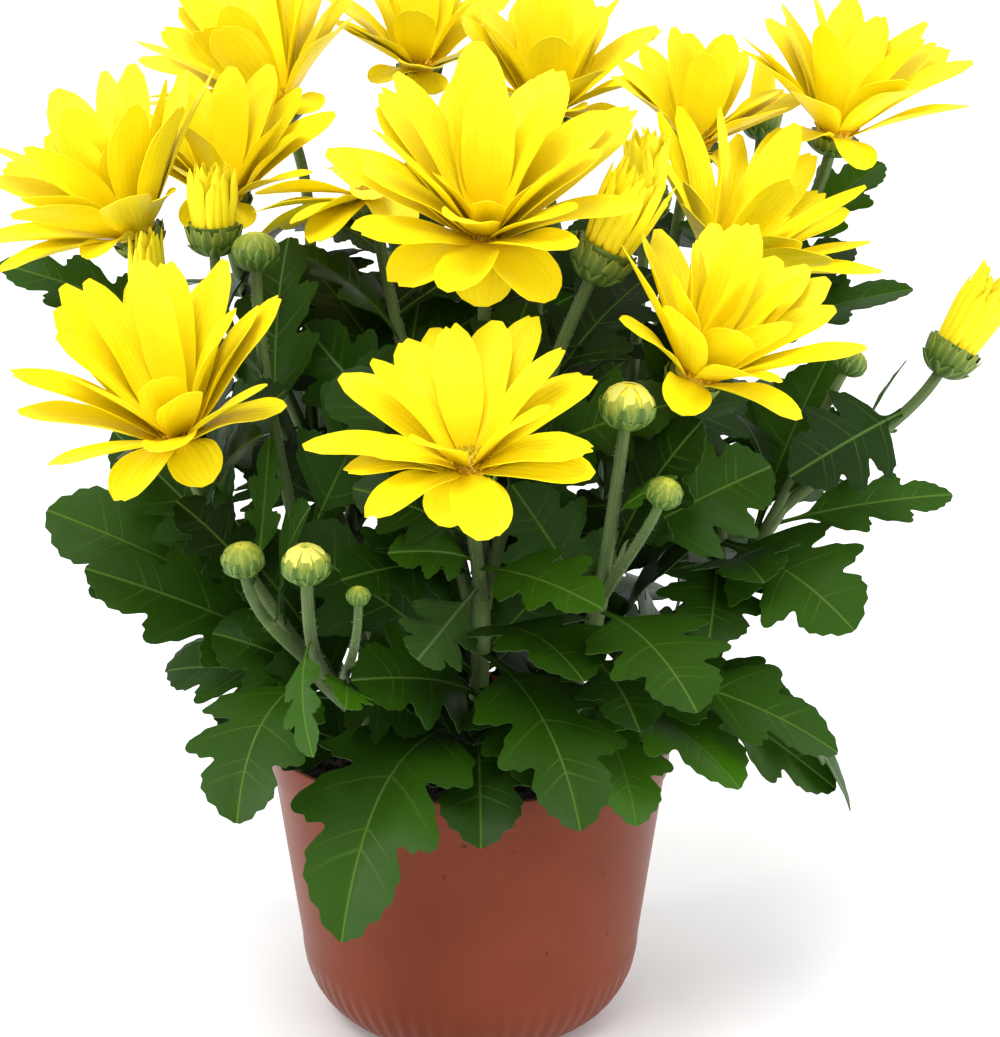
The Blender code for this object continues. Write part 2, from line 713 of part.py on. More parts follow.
def petal_plan(name):
    """The petals of an open bloom: azimuth, root, length, width, opening, bend and twist of each."""
    counts, (length, width), openings, bend = BLOOMS[name]
    chance = random.Random(name)
    begin = chance.uniform(0.0, 2.0 * math.pi)
    facing = front_turn(name)
    for row, count in enumerate(counts):
        for index in range(count):
            shift = index + 0.5 * row + chance.uniform(-TURN_SPREAD, TURN_SPREAD)
            turn = begin + 2.0 * math.pi * shift / count
            opened = openings[row] + FRONT_OPENING * math.cos(turn - facing)
            yield (
                PETAL_CELLS[row],
                turn,
                (PETAL_ROOTS[row][0] * MM, CUP_DEPTH + PETAL_ROOTS[row][1] * MM),
                length * MM * chance.uniform(*LENGTH_SPREAD) * ROW_LENGTHS[row],
                width * MM * chance.uniform(*WIDTH_SPREAD) * ROW_WIDTHS[row],
                math.radians(opened + chance.uniform(-OPENING_SPREAD, OPENING_SPREAD)),
                math.radians(bend + chance.uniform(*BEND_SPREAD)),
                math.radians(chance.uniform(-TWIST_SPREAD, TWIST_SPREAD)),
            )


def petal_cages(stand, cells, turn, root, length, width, opening, bend, twist):
    for extra, azimuth, share in petal_bends():
        moved = turn + math.radians(azimuth)
        opened = opening + math.radians(extra)
        surface = petal_surface(stand, moved, root, length * share, width, opened, bend, twist)
        yield petal_cage(surface, cells)


def make_core(name, stand, collection):
    """The small dome that an open bloom's petals grow from."""
    foot = CUP_DEPTH + GAP
    profile = [(out * CORE_RADIUS, foot + up * CORE_HEIGHT) for out, up in CORE_PROFILE]
    core = turned(name, profile, CORE_SIDES, collection)
    core.matrix_world = stand
    return applied(core)


def make_bunch(name, stand, collection):
    """The yellow petals of a half-open head, bunched into a fluted cone with a tip for each petal."""
    cup_radius, cup_depth, height, top, jag = (value * MM for value in HEADS[name])
    foot = cup_depth + GAP
    profile = [
        (0.0, foot + 0.55 * height),
        (0.55 * top, foot + 0.80 * height),
        (top, foot + height - 0.5 * jag),
        (0.5 * (top + 0.92 * cup_radius), foot + 0.45 * height),
        (0.84 * cup_radius, foot),
        (0.0, foot),
    ]
    bunch = turned(name, profile, 2 * HEAD_STRAPS, collection)
    scalloped(bunch, HEAD_STRAPS, STRAP_FLUTE, 0.5 * jag, foot + 0.75 * height)
    bunch.matrix_world = stand
    return applied(bunch)


def stand_on(routes, name):
    """The matrix of the head at the end of a stem."""
    return upright_to(lean(*STEMS[name][3]), routes[name][-1])


def make_green_bodies(routes, collection):
    """Every stem, cup and bud as a body of its own, by leafy stem."""
    bodies = {}
    for name, (node, _, _, aim, radii) in STEMS.items():
        own = bodies.setdefault(node, [])
        points = list(routes[name])
        if name != node:
            points.append(points[-1] + lean(*aim) * SUNK)
        own.append(tube(name + " stem", points, [radius * MM for radius in radii], collection))
        if name in BLOOMS:
            own.append(make_cup(name + " cup", CUP_RADIUS, CUP_DEPTH, collection))
        elif name in HEADS:
            own.append(make_cup(name + " cup", HEADS[name][0] * MM, HEADS[name][1] * MM, collection))
        elif name in BUDS:
            own.append(make_bud(name, BUDS[name] * MM, collection))
        else:
            continue
        own[-1].matrix_world = stand_on(routes, name)
        applied(own[-1])
    return bodies


def make_blooms(routes, neighbours, collection, look):
    cores = {}
    for name in BLOOMS:
        cores[name] = make_core(name, stand_on(routes, name), collection)
        neighbours.add_piece(name, cores[name])
    for name in HEADS:
        bunch = make_bunch(name, stand_on(routes, name), collection)
        neighbours.add_piece(name, bunch)
        shaded(bunch, look)
    for name, core in cores.items():
        petals = []
        stand = stand_on(routes, name)
        for index, petal in enumerate(petal_plan(name)):
            cage = first_clear(name, neighbours, petal_cages(stand, *petal), PETAL_ROOT_CELLS)
            if cage:
                petals.append(blade(f"{name} petal {index}", cage, PETAL_THICKNESS, collection))
                cage.free()
        shaded(fused(name, core, petals, collection), look)


def make_leaves(routes, neighbours, collection):
    leaves = {}
    for index, (stem, share, tip, width, bow, roll) in enumerate(LEAVES):
        node = STEMS[stem][0]
        base, _ = on_route(routes[stem], share)
        plan = leaf_cages(base, mm(*tip), width * MM, bow * MM, roll)
        cage = first_clear("leafy_stem_" + node, neighbours, plan, LEAF_ROOT_ROWS)
        if cage:
            made = blade(f"leaf {index}", cage, LEAF_THICKNESS, collection)
            leaves.setdefault(node, []).append(made)
            cage.free()
    return leaves


def main():
    start_empty()
    parts = new_collection("pot chrysanthemum")
    pot = make_pot(parts, material("pot plastic", TERRACOTTA, 0.42))
    soil = make_soil(parts, material("potting soil", PEAT, 0.95))
    routes = stem_points()
    neighbours = Neighbours()
    neighbours.add_piece("pot", pot)
    neighbours.add_piece("soil", soil)
    bodies = make_green_bodies(routes, parts)
    for node, pieces in bodies.items():
        for piece in pieces:
            neighbours.add_piece("leafy_stem_" + node, piece)
    make_blooms(routes, neighbours, parts, material("petals", YELLOW, 0.55))
    leaves = make_leaves(routes, neighbours, parts)
    green = material("green leaf", GREEN, 0.5)
    for node, pieces in bodies.items():
        body = fused("leafy_stem_" + node, pieces[0], pieces[1:] + leaves.get(node, []), parts)
        shaded(body, green)


if __name__ == "__main__":
    main()
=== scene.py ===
"""The looks of a pot chrysanthemum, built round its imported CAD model.

Metres, +Z up, the origin in the middle of the pot's foot, the front towards -Y. The plant's layout is that
of the CAD source, in millimetres. Each blade, stem and floret is modelled once as a blank and copied, and a
copy's points are then moved onto its own surface. The file is laid out as an add-on and run as a script.
"""

import math
import random

import bmesh
import bpy
import numpy as np
from bpy.props import FloatProperty, FloatVectorProperty, IntProperty, PointerProperty
from mathutils import Matrix, Vector, noise
from mathutils.bvhtree import BVHTree


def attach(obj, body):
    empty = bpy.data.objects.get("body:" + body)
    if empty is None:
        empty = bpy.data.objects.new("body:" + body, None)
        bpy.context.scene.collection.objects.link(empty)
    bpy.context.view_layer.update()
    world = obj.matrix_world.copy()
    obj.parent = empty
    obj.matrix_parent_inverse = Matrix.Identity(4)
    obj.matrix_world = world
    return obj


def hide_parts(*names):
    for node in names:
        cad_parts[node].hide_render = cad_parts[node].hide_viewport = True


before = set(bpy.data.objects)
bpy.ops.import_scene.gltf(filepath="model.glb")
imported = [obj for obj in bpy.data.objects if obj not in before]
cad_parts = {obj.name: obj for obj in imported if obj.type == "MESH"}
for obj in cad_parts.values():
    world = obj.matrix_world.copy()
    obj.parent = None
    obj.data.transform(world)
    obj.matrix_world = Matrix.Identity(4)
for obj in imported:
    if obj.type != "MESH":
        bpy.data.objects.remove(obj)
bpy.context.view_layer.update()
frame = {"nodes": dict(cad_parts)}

bl_info = {
    "name": "Pot chrysanthemum",
    "version": (1, 0, 0),
    "blender": (4, 5, 0),
    "location": "View3D > Sidebar > Chrysanthemum",
    "description": "Dresses the CAD model of a pot chrysanthemum",
    "category": "Add Mesh",
}

MM = 0.001
NODES = frame["nodes"]

# The layout that the CAD source has too. Stems: leafy stem, start in the soil or share of another stem, end,
# azimuth and tilt of the end in degrees, radii
STEMS = {
    "front_left": ("front_left", (-22, -24), (-43, -62, 130), (-125, 35), (3.0, 2.3)),
    "bloom_1": ("front_left", ("front_left", 0.98), (-76, -55, 186), (-115, 24), (2.1, 1.7)),
    "bud_3": ("front_left", ("front_left", 0.90), (-57, -86, 161), (-110, 16), (1.8, 1.5)),
    "bud_2": ("front_left", ("front_left", 0.84), (-40, -100, 163), (-90, 14), (1.9, 1.6)),
    "bud_4": ("front_left", ("front_left", 0.72), (-27, -100, 157), (-80, 8), (1.5, 1.1)),
    "bud_1": ("front_left", ("front_left", 0.66), (-57, -38, 233), (-90, 3), (1.9, 1.6)),
    "head_6": ("front_left", ("front_left", 0.52), (-88, -27, 214), (-90, 4), (1.9, 1.6)),
    "front_middle": ("front_middle", (2, -31), (4, -60, 146), (-90, 20), (3.1, 2.4)),
    "bloom_2": ("front_middle", ("front_middle", 0.98), (1, -84, 184), (-95, 22), (2.0, 1.7)),
    "bloom_3": ("front_middle", ("front_middle", 0.86), (5, -45, 238), (-88, 25), (2.1, 1.7)),
    "head_1": ("front_middle", ("front_middle", 0.92), (33, -50, 232), (-10, 26), (2.0, 1.7)),
    "bloom_9": ("front_middle", ("front_middle", 0.74), (-26, 0, 241), (130, 12), (2.1, 1.7)),
    "bud_8": ("front_middle", ("front_middle", 0.60), (20, -4, 220), (-90, 6), (1.6, 1.3)),
    "front_right": ("front_right", (25, -20), (36, -64, 150), (-70, 18), (3.1, 2.4)),
    "bud_5": ("front_right", ("front_right", 0.98), (41, -82, 199), (-60, 12), (1.9, 1.6)),
    "bloom_4": ("front_right", ("front_right", 0.95), (58, -60, 203), (-35, 26), (2.0, 1.7)),
    "bud_6": ("front_right", ("front_right", 0.92), (50, -87, 180), (-50, 28), (1.6, 1.3)),
    "head_3": ("front_right", ("front_right", 0.78), (49, -20, 244), (-90, 6), (1.8, 1.5)),
    "right_shoot": ("front_right", ("front_right", 0.42), (88, -25, 163), (0, 26), (2.5, 2.1)),
    "head_4": ("front_right", ("right_shoot", 0.97), (132, -20, 201), (0, 30), (1.8, 1.6)),
    "bud_7": ("front_right", ("right_shoot", 0.92), (104, -30, 203), (20, 32), (1.5, 1.2)),
    "bloom_5": ("front_right", ("right_shoot", 0.66), (68, 0, 222), (-15, 30), (2.0, 1.7)),
    "back_right": ("back_right", (24, 20), (52, 30, 180), (30, 18), (3.1, 2.4)),
    "bloom_6": ("back_right", ("back_right", 0.85), (106, 30, 257), (-40, 14), (2.1, 1.7)),
    "head_5": ("back_right", ("back_right", 0.94), (88, 54, 259), (60, 5), (1.8, 1.5)),
    "bloom_13": ("back_right", ("back_right", 0.98), (65, 30, 255), (-60, 20), (2.0, 1.7)),
    "bloom_12": ("back_right", ("back_right", 0.74), (23, 62, 261), (-80, 18), (2.1, 1.7)),
    "back_left": ("back_left", (-24, 16), (-46, 16, 168), (165, 20), (3.1, 2.4)),
    "bloom_7": ("back_left", ("back_left", 0.90), (-90, -10, 234), (-160, 28), (2.0, 1.7)),
    "bloom_8": ("back_left", ("back_left", 0.96), (-72, 30, 239), (-90, 20), (2.0, 1.7)),
    "head_2": ("back_left", ("back_left", 0.80), (-69, -30, 236), (-90, 5), (1.8, 1.5)),
    "bloom_10": ("back_left", ("back_left", 0.98), (-56, 62, 263), (-165, 24), (2.0, 1.7)),
    "bloom_11": ("back_left", ("back_left", 0.70), (-17, 92, 272), (-80, 14), (2.1, 1.7)),
}

# Open blooms: petals in the two CAD rows, length and width, opening of each row in degrees, bend in degrees
BLOOMS = {
    "bloom_1": ((8, 5), (46, 14.5), (47, 26), 12),
    "bloom_2": ((8, 5), (39, 13.5), (62, 38), 26),
    "bloom_3": ((9, 6), (48, 15.5), (56, 34), 14),
    "bloom_4": ((7, 5), (42, 13.5), (43, 22), 14),
    "bloom_5": ((7, 4), (46, 12.0), (50, 24), 8),
    "bloom_6": ((7, 5), (41, 14.0), (46, 25), 16),
    "bloom_7": ((8, 5), (46, 15.0), (47, 24), 10),
    "bloom_8": ((7, 4), (37, 13.5), (48, 24), 10),
    "bloom_9": ((7, 4), (34, 13.5), (104, 80), 20),
    "bloom_10": ((7, 5), (48, 16.0), (54, 30), 12),
    "bloom_11": ((7, 4), (34, 14.0), (52, 26), 12),
    "bloom_12": ((7, 4), (40, 15.0), (48, 26), 12),
    "bloom_13": ((6, 4), (32, 13.0), (46, 24), 12),
}

# Small golden petals in the middle of a bloom
GOLDEN = {"bloom_3": 5, "bloom_7": 7, "bloom_5": 2}

# Half-open heads: cup radius and depth, height and top radius of the yellow bunch, how uneven its tips are
HEADS = {
    "head_1": (8.2, 8.5, 25, 9.8, 6.0),
    "head_2": (7.2, 7.0, 18, 7.4, 4.0),
    "head_3": (6.8, 7.0, 18, 6.4, 4.0),
    "head_4": (7.6, 8.0, 26, 8.0, 7.0),
    "head_5": (5.6, 7.0, 19, 2.6, 3.0),
    "head_6": (6.2, 7.0, 22, 5.0, 8.0),
}

# Buds: radius, and how far the top shows yellow, from 0 to 1
BUDS = {
    "bud_1": (6.8, 0.35),
    "bud_2": (6.5, 0.75),
    "bud_3": (5.8, 0.30),
    "bud_4": (3.1, 0.10),
    "bud_5": (7.6, 1.00),
    "bud_6": (4.9, 0.20),
    "bud_7": (5.0, 0.20),
    "bud_8": (4.2, 0.40),
}

# Leaves: stem, share of its length, tip, width, bow, roll in degrees, tone from 0, dark, to 1, bright. The
# tone is partly the leaf colour itself and partly painted shade: it is low for leaves deep inside the plant
LEAVES = (
    ("front_middle", 0.50, (-33, -94, 62), 48, 24, 0, 0.45),
    ("front_left", 0.92, (-60, -93, 95), 42, 10, 5, 0.35),
    ("front_middle", 0.80, (30, -93, 93), 43, 9, -10, 0.35),
    ("front_right", 0.50, (74, -70, 96), 42, 9, 0, 1.0),
    ("bloom_5", 0.16, (106, -54, 136), 44, 6, 30, 0.5),
    ("front_right", 0.93, (60, -94, 126), 42, 5, 0, 0.4),
    ("front_right", 0.66, (102, -58, 102), 34, 8, 15, 0.4),
    ("right_shoot", 0.40, (112, -18, 70), 22, 12, 15, 0.5),
    ("right_shoot", 0.28, (93, -50, 108), 26, 7, 0, 0.3),
    ("head_6", 0.30, (-118, -30, 164), 40, 5, -40, 0.45),
    ("head_6", 0.20, (-105, -48, 152), 32, 5, -25, 0.35),
    ("bloom_7", 0.62, (-137, 14, 227), 22, 3, -35, 0.45),
    ("right_shoot", 0.93, (139, -12, 164), 18, 3, 35, 0.5),
    ("bloom_6", 0.36, (130, 16, 219), 28, 3, 35, 0.5),
    ("bloom_6", 0.50, (116, 40, 228), 26, 3, 35, 0.3),
    ("right_shoot", 0.85, (103, -6, 203), 36, 2, -60, 0.45),
    ("bloom_6", 0.66, (124, 42, 253), 26, 3, 30, 0.95),
    ("bloom_2", 0.34, (35, -98, 155), 26, 3, 10, 0.6),
    ("bloom_2", 0.20, (-12, -99, 142), 22, 3, 150, 0.5),
    ("front_left", 0.78, (-85, -34, 118), 28, 6, -20, 0.35),
    ("bloom_2", 0.40, (-20, -84, 166), 17, 3, -30, 0.45),
    ("front_middle", 0.40, (4, -88, 86), 38, 12, 0, 0.25),
    ("head_6", 0.44, (-99, -27, 186), 28, 4, -40, 0.3),
    ("bloom_3", 0.30, (-30, -42, 204), 32, 4, -40, 0.25),
    ("bud_1", 0.40, (-18, -36, 212), 30, 3, 40, 0.3),
    ("front_middle", 0.70, (-50, -56, 164), 38, 6, -40, 0.2),
    ("front_middle", 0.88, (40, -84, 134), 40, 6, 10, 0.35),
    ("front_right", 0.90, (12, -66, 180), 30, 4, -40, 0.25),
    ("bloom_4", 0.30, (82, -54, 182), 34, 5, 35, 0.4),
    ("right_shoot", 0.70, (80, -62, 152), 34, 6, 10, 0.35),
    ("head_1", 0.30, (30, -46, 194), 26, 4, 20, 0.3),
    ("bloom_5", 0.45, (112, -4, 188), 34, 4, 40, 0.3),
    ("bloom_9", 0.45, (-46, -14, 214), 30, 4, -40, 0.25),
    ("back_left", 0.62, (-116, 22, 136), 40, 10, 0, 0.4),
    ("back_left", 0.42, (-90, -4, 108), 36, 10, 0, 0.35),
    ("back_left", 0.36, (-60, 66, 100), 38, 11, 0, 0.4),
    ("back_left", 0.80, (-86, 76, 166), 38, 9, 0, 0.5),
    ("back_left", 0.74, (-20, 88, 160), 38, 9, 0, 0.4),
    ("back_right", 0.34, (6, 86, 96), 38, 11, 0, 0.4),
    ("back_right", 0.44, (76, 68, 104), 38, 11, 0, 0.45),
    ("back_right", 0.56, (108, 32, 126), 40, 10, 10, 0.4),
    ("back_right", 0.70, (42, 100, 158), 38, 9, 0, 0.5),
    ("back_right", 0.82, (112, 66, 180), 38, 8, 0, 0.45),
    ("front_middle", 0.62, (-30, -86, 132), 34, 5, -20, 0.3),
    ("bloom_10", 0.40, (-94, 88, 208), 32, 7, 0, 0.55),
)

# Leaves that only the scene has, on the stalks, over the rim and in the gaps between the others. Those in the
# gaps deep inside the plant have a low tone, which is painted shade
STALK_LEAVES = (
    ("bloom_1", 0.40, (-53, -52, 190), 10, 2, 50, 0.6),
    ("head_4", 0.46, (122, -26, 206), 5, 1, 60, 0.6),
    ("bloom_12", 0.62, (36, 48, 232), 10, 2, 20, 0.5),
    ("bloom_11", 0.62, (-34, 84, 238), 10, 2, 20, 0.5),
    ("bud_5", 0.50, (52, -86, 186), 7, 1, 20, 0.6),
    ("bud_1", 0.75, (-64, -44, 214), 7, 1, 20, 0.6),
    ("bud_4", 0.35, (-12, -104, 146), 15, 1, -40, 1.0),
    ("bud_2", 0.60, (-38, -114, 121), 15, 3, 40, 0.6),
    ("front_middle", 0.66, (4, -86, 99), 30, 6, 0, 0.3),
    ("front_right", 0.60, (51, -78, 103), 34, 5, -10, 0.9),
    ("front_right", 0.74, (46, -80, 116), 32, 4, 0, 0.2),
    ("front_left", 0.74, (-71, -60, 130), 34, 6, -30, 0.25),
    ("front_left", 0.80, (-18, -75, 112), 30, 6, 10, 0.2),
    ("right_shoot", 0.20, (62, -48, 158), 32, 5, 20, 0.25),
    ("bloom_5", 0.10, (60, -62, 144), 34, 5, 10, 0.25),
    ("front_left", 0.70, (-48, -42, 166), 34, 5, -10, 0.2),
    ("head_6", 0.22, (-62, -48, 164), 28, 5, -10, 0.2),
    ("bud_8", 0.60, (44, 10, 204), 30, 4, 20, 0.15),
    ("bloom_9", 0.66, (20, 14, 219), 30, 4, 20, 0.15),
    ("bloom_9", 0.56, (46, 22, 214), 30, 4, 20, 0.15),
    ("bloom_7", 0.60, (-58, 18, 230), 30, 4, -10, 0.2),
    ("bloom_5", 0.60, (60, -14, 190), 28, 4, 10, 0.2),
    ("bloom_3", 0.55, (14, -30, 222), 26, 4, 10, 0.2),
    ("bloom_8", 0.70, (-46, 28, 240), 28, 4, 10, 0.2),
    ("bloom_9", 0.72, (-52, -4, 234), 26, 4, 10, 0.2),
    ("bloom_1", 0.30, (-62, -36, 172), 26, 4, 10, 0.2),
    ("back_left", 0.84, (-62, -14, 176), 40, 4, 10, 0.1),
    ("back_left", 0.90, (-54, 40, 226), 36, 4, 10, 0.1),
    ("back_left", 0.96, (-40, 34, 214), 36, 4, 10, 0.1),
    ("back_right", 0.88, (52, 22, 212), 40, 4, 10, 0.1),
    ("back_right", 0.76, (40, 44, 210), 40, 4, 10, 0.1),
    ("bloom_12", 0.30, (26, 40, 214), 36, 4, 10, 0.1),
    ("back_right", 0.60, (70, 10, 160), 40, 4, 10, 0.1),
    ("bloom_9", 0.50, (-58, -4, 234), 36, 4, 10, 0.15),
    ("bloom_9", 0.40, (-42, -4, 213), 36, 4, 10, 0.15),
    ("bud_1", 0.60, (-50, 6, 226), 30, 4, 10, 0.2),
    ("right_shoot", 0.36, (108, -36, 77), 24, 4, 55, 0.5),
)

# CAD outline of a leaf: place on the midrib, place of the edge, half width as a share of the width
CAD_OUTLINE = (
    (0.00, 0.00, 0.045),
    (0.23, 0.22, 0.050),
    (0.38, 0.46, 0.500),
    (0.49, 0.51, 0.300),
    (0.60, 0.69, 0.480),
    (0.70, 0.72, 0.280),
    (0.85, 0.88, 0.270),
    (1.00, 1.00, 0.030),
)

# The same outline with its teeth and rounded sinuses: place of the edge, half width
LEAF_EDGE = (
    (0.000, 0.045), (0.090, 0.034), (0.170, 0.040), (0.235, 0.085), (0.285, 0.180),
    (0.330, 0.315), (0.368, 0.415), (0.404, 0.432), (0.436, 0.466), (0.470, 0.500),
    (0.492, 0.470), (0.494, 0.400), (0.512, 0.372), (0.504, 0.285), (0.512, 0.238),
    (0.545, 0.280), (0.588, 0.375), (0.618, 0.396), (0.660, 0.462), (0.700, 0.482),
    (0.722, 0.440), (0.720, 0.375), (0.738, 0.345), (0.726, 0.268), (0.738, 0.232),
    (0.780, 0.275), (0.815, 0.306), (0.832, 0.284), (0.872, 0.288), (0.893, 0.246),
    (0.925, 0.222), (0.940, 0.160), (0.972, 0.130), (0.985, 0.072), (1.000, 0.024),
)

# Points of LEAF_EDGE that a side vein runs to, and how far ahead of its root a vein meets the edge
VEINS = (6, 9, 16, 19, 26, 28)
VEIN_LEAD = 0.42

# Stems: lower end in the soil, 0.3 mm above the CAD one, how their curves are laid, how deep they reach into
# a head, and their radius as a share of the CAD one
ROOT_BOTTOM = 58.3 * MM
SOIL_TOP = 80 * MM
STEM_REACH = 22 * MM
STEM_PULL = 0.9
SUNK = 1.5 * MM
STEM_SLACK = 0.97

# Green cups under the blooms
CUP_RADIUS = 7.2 * MM
CUP_DEPTH = 5.0 * MM

# Leaves: how much they fold and wave, and how far their upper face turns outwards
LEAF_FOLD = 0.22
LEAF_WAVE = 0.02
LEAF_OUTWARD = 0.5

# Petals of the two CAD rows, and how much each differs from the next
PETAL_CELLS = (3, 2)
PETAL_ROOTS = ((3.6, 2.0), (3.0, 3.2))
ROW_LENGTHS = (1.0, 0.94)
ROW_WIDTHS = (1.0, 0.92)
TURN_SPREAD = 0.12
LENGTH_SPREAD = (0.90, 1.06)
WIDTH_SPREAD = (0.88, 1.05)
OPENING_SPREAD = 7.0
BEND_SPREAD = (-8.0, 12.0)
TWIST_SPREAD = 12.0

# Petals on the pot's front side open further, and the outermost hang and are shorter
FRONT_OPENING = 12.0
FRONT_DROOP = 38.0
DROOP_SHORTENS = 0.0150
DROOP_BENDS = 0.8

# Share of a petal and of a leaf, from its root on, that may cross what is its own node's
PETAL_AMONG = 0.42
LEAF_AMONG = 0.2

# Inner leaves: root as a share of the stem, tilt, length, width as a share of it, bow, roll and tone, how low
# they root, how low, high and far out their tips are, and tries for each leaf. Their tone is kept low as
# painted shade, since they stand inside the plant
INNER_ROOT = (0.10, 0.80)
INNER_TILT = (30.0, 115.0)
INNER_LENGTH = (30.0, 62.0)
INNER_SLIM = 0.64
INNER_BOW = 4
INNER_ROLL = (-40.0, 40.0)
INNER_SHADE_TONE = (0.0, 0.3)
INNER_LOW = 84 * MM
INNER_FRONT_LOW = 92 * MM
INNER_BACK_LOW = 98 * MM
INNER_HIGH = 238 * MM
INNER_RADIUS = 92 * MM
INNER_TRIES = 14

# Discs of the open blooms, and the turn from one floret to the next in radians
DISC_RADIUS = 5.4 * MM
DISC_DOME = 3.2 * MM
GOLDEN_ANGLE = 2.39996

# Rings of narrow petals in a half-open head: count, share of the head's radius, share of its height
STRAP_RINGS = ((14, 1.0, 0.98), (10, 0.70, 1.0), (6, 0.34, 0.92))

# Hairs of the stems
HAIR_RADIUS = 0.06 * MM
HAIR_SPACING = 0.38 * MM

# Pot: rounded lower corner, flat foot, flutes and drainage holes
CORNER_RADIUS = 51.1 * MM
CORNER_HEIGHT = 26 * MM
FOOT_RADIUS = 30 * MM
FLUTE_TOP = 22 * MM
DRAIN_HOLES = 5
DRAIN_RADIUS = 4 * MM
DRAIN_CIRCLE = 20 * MM

# Soil: radius, rings of its top and its wall inside the pot, radius and height, from the top down
SOIL_RADIUS = 56.6 * MM
SOIL_STEPS = 34
SOIL_WALL = ((51.4, 32), (49.3, 20), (42, 8), (28, 1.6), (0.0, 1.6))

# Material slots of the stems
STEM, BRACT, HAIR, BUD = range(4)

# Camera: focal length in pixels of the photo, the photo's longer side, place and tilt
FOCAL_PIXELS = 2500.0
PHOTO_PIXELS = 1037.0
SENSOR = 36.0
CAMERA_SIDE = 0.009
CAMERA_HEIGHT = 0.335
CAMERA_TILT = 75.7

# Lights: where the key light comes from, where the narrow side lights stand and their size
KEY_FROM = Vector((-0.25, -0.85, 1.45))
STRIPS = (("left_strip", (-0.85, -0.30, 0.22)), ("right_strip", (0.85, -0.30, 0.22)))
STRIP_SIZE = (0.16, 0.5)
PLANT_MIDDLE = Vector((0.0, 0.0, 0.16))


def length_value(name, text, default, low, high):
    return FloatProperty(name=name, description=text, default=default, min=low, max=high, unit="LENGTH")


def count_value(name, text, default, low, high):
    return IntProperty(name=name, description=text, default=default, min=low, max=high)


def light_value(name, text, default, unit="NONE"):
    return FloatProperty(name=name, description=text, default=default, min=0.0, unit=unit)


def colour_value(name, text, default):
    return FloatVectorProperty(
        name=name, description=text, default=default, size=3, subtype="COLOR", min=0.0, max=1.0
    )


class ChrysanthemumPotSettings(bpy.types.PropertyGroup):
    rim_radius: length_value("Rim radius", "Radius of the lip's upper edge", 0.060, 0.03, 0.1)
    height: length_value("Height", "From the foot to the rim", 0.088, 0.05, 0.15)
    lip_depth: length_value("Lip depth", "Height of the band round the rim", 0.009, 0.003, 0.02)
    wall: length_value("Wall", "Thickness of the plastic", 0.0012, 0.0006, 0.003)
    flute_depth: length_value("Flute depth", "Depth of the lower corner's flutes", 0.0005, 0.0, 0.002)
    flutes: count_value("Flutes", "Flutes round the lower corner", 60, 12, 120)
    colour: colour_value("Plastic", "Colour of the plastic", (0.152, 0.028, 0.0090))


class ChrysanthemumSoilSettings(bpy.types.PropertyGroup):
    edge: length_value("Edge height", "Height of the soil at the wall", 0.0765, 0.04, 0.085)
    crumb: length_value("Crumb size", "Largest crumb on the surface", 0.0022, 0.0005, 0.005)
    crumbs: count_value("Crumbs", "Loose crumbs on the surface", 650, 0, 3000)
    colour: colour_value("Soil", "Colour of the moist soil", (0.030, 0.019, 0.012))


class ChrysanthemumFoliageSettings(bpy.types.PropertyGroup):
    thickness: length_value("Leaf thickness", "Thickness of a leaf at its midrib", 0.0006, 0.0002, 0.002)
    hair: length_value("Hair length", "Length of the stems' hairs", 0.0008, 0.0, 0.003)
    # The inner leaves and the dark leaf colour carry painted shade: leaves inside the plant are coloured
    # darker. The bright colour is that of a young leaf
    filling: count_value("Inner leaves", "Dark leaves between the stems", 130, 0, 300)
    dark: colour_value("Dark leaf", "Colour of a leaf in the plant's inside", (0.0058, 0.0190, 0.0010))
    bright: colour_value("Bright leaf", "Colour of a young leaf", (0.033, 0.112, 0.0020))
    under: colour_value("Underside", "Colour of a leaf's lower face", (0.026, 0.060, 0.011))
    stem: colour_value("Stem", "Colour of the stems", (0.088, 0.145, 0.036))


class ChrysanthemumBloomSettings(bpy.types.PropertyGroup):
    thickness: length_value("Petal thickness", "Thickness of a petal along its middle", 0.0005, 0.0002, 0.001)
    channel: length_value("Channel depth", "How deep a petal's two furrows are", 0.00022, 0.0, 0.001)
    florets: count_value("Disc florets", "Small florets on each bloom's disc", 64, 8, 200)
    petal: colour_value("Petal", "Colour of an open petal", (0.93, 0.79, 0.006))
    root: colour_value("Petal root", "Colour near the disc", (0.91, 0.66, 0.003))
    bud: colour_value("Bud", "Colour of the petals that a bud's top shows", (0.60, 0.60, 0.13))
    disc: colour_value("Disc", "Colour of the youngest florets", (0.36, 0.42, 0.02))


class ChrysanthemumStageSettings(bpy.types.PropertyGroup):
    key: light_value("Key light", "Strength of the soft light from the front", 1.9)
    fill: light_value("Room light", "Strength of the light from all round", 1.0)
    strip: light_value("Side lights", "Power of each narrow side light", 3.5, "POWER")
    floor: colour_value("Floor", "Colour of the floor", (0.96, 0.96, 0.96))
    distance: length_value("Camera distance", "From the pot's axis to the camera", 0.710, 0.3, 3.0)


def to_object_mode():
    if bpy.context.mode != "OBJECT":
        bpy.ops.object.mode_set(mode="OBJECT")
    bpy.ops.object.select_all(action="DESELECT")


def polar(radius, turn, height):
    """The coordinates of a point at RADIUS and TURN round the Z axis."""
    return radius * math.cos(turn), radius * math.sin(turn), height


def shown(name, mesh):
    """A new object of MESH, selected and active."""
    to_object_mode()
    made = bpy.data.objects.new(name, mesh)
    bpy.context.scene.collection.objects.link(made)
    made.select_set(True)
    bpy.context.view_layer.objects.active = made
    return made


def lean(azimuth, tilt):
    """The direction that leans TILT degrees from upright, towards AZIMUTH."""
    fall = math.radians(tilt)
    return Vector(polar(math.sin(fall), math.radians(azimuth), math.cos(fall)))


def turned_to(way):
    """The matrix that turns +Z to WAY."""
    return way.to_track_quat("Z", "Y").to_matrix().to_4x4()


def mm(*values):
    return Vector(values) * MM


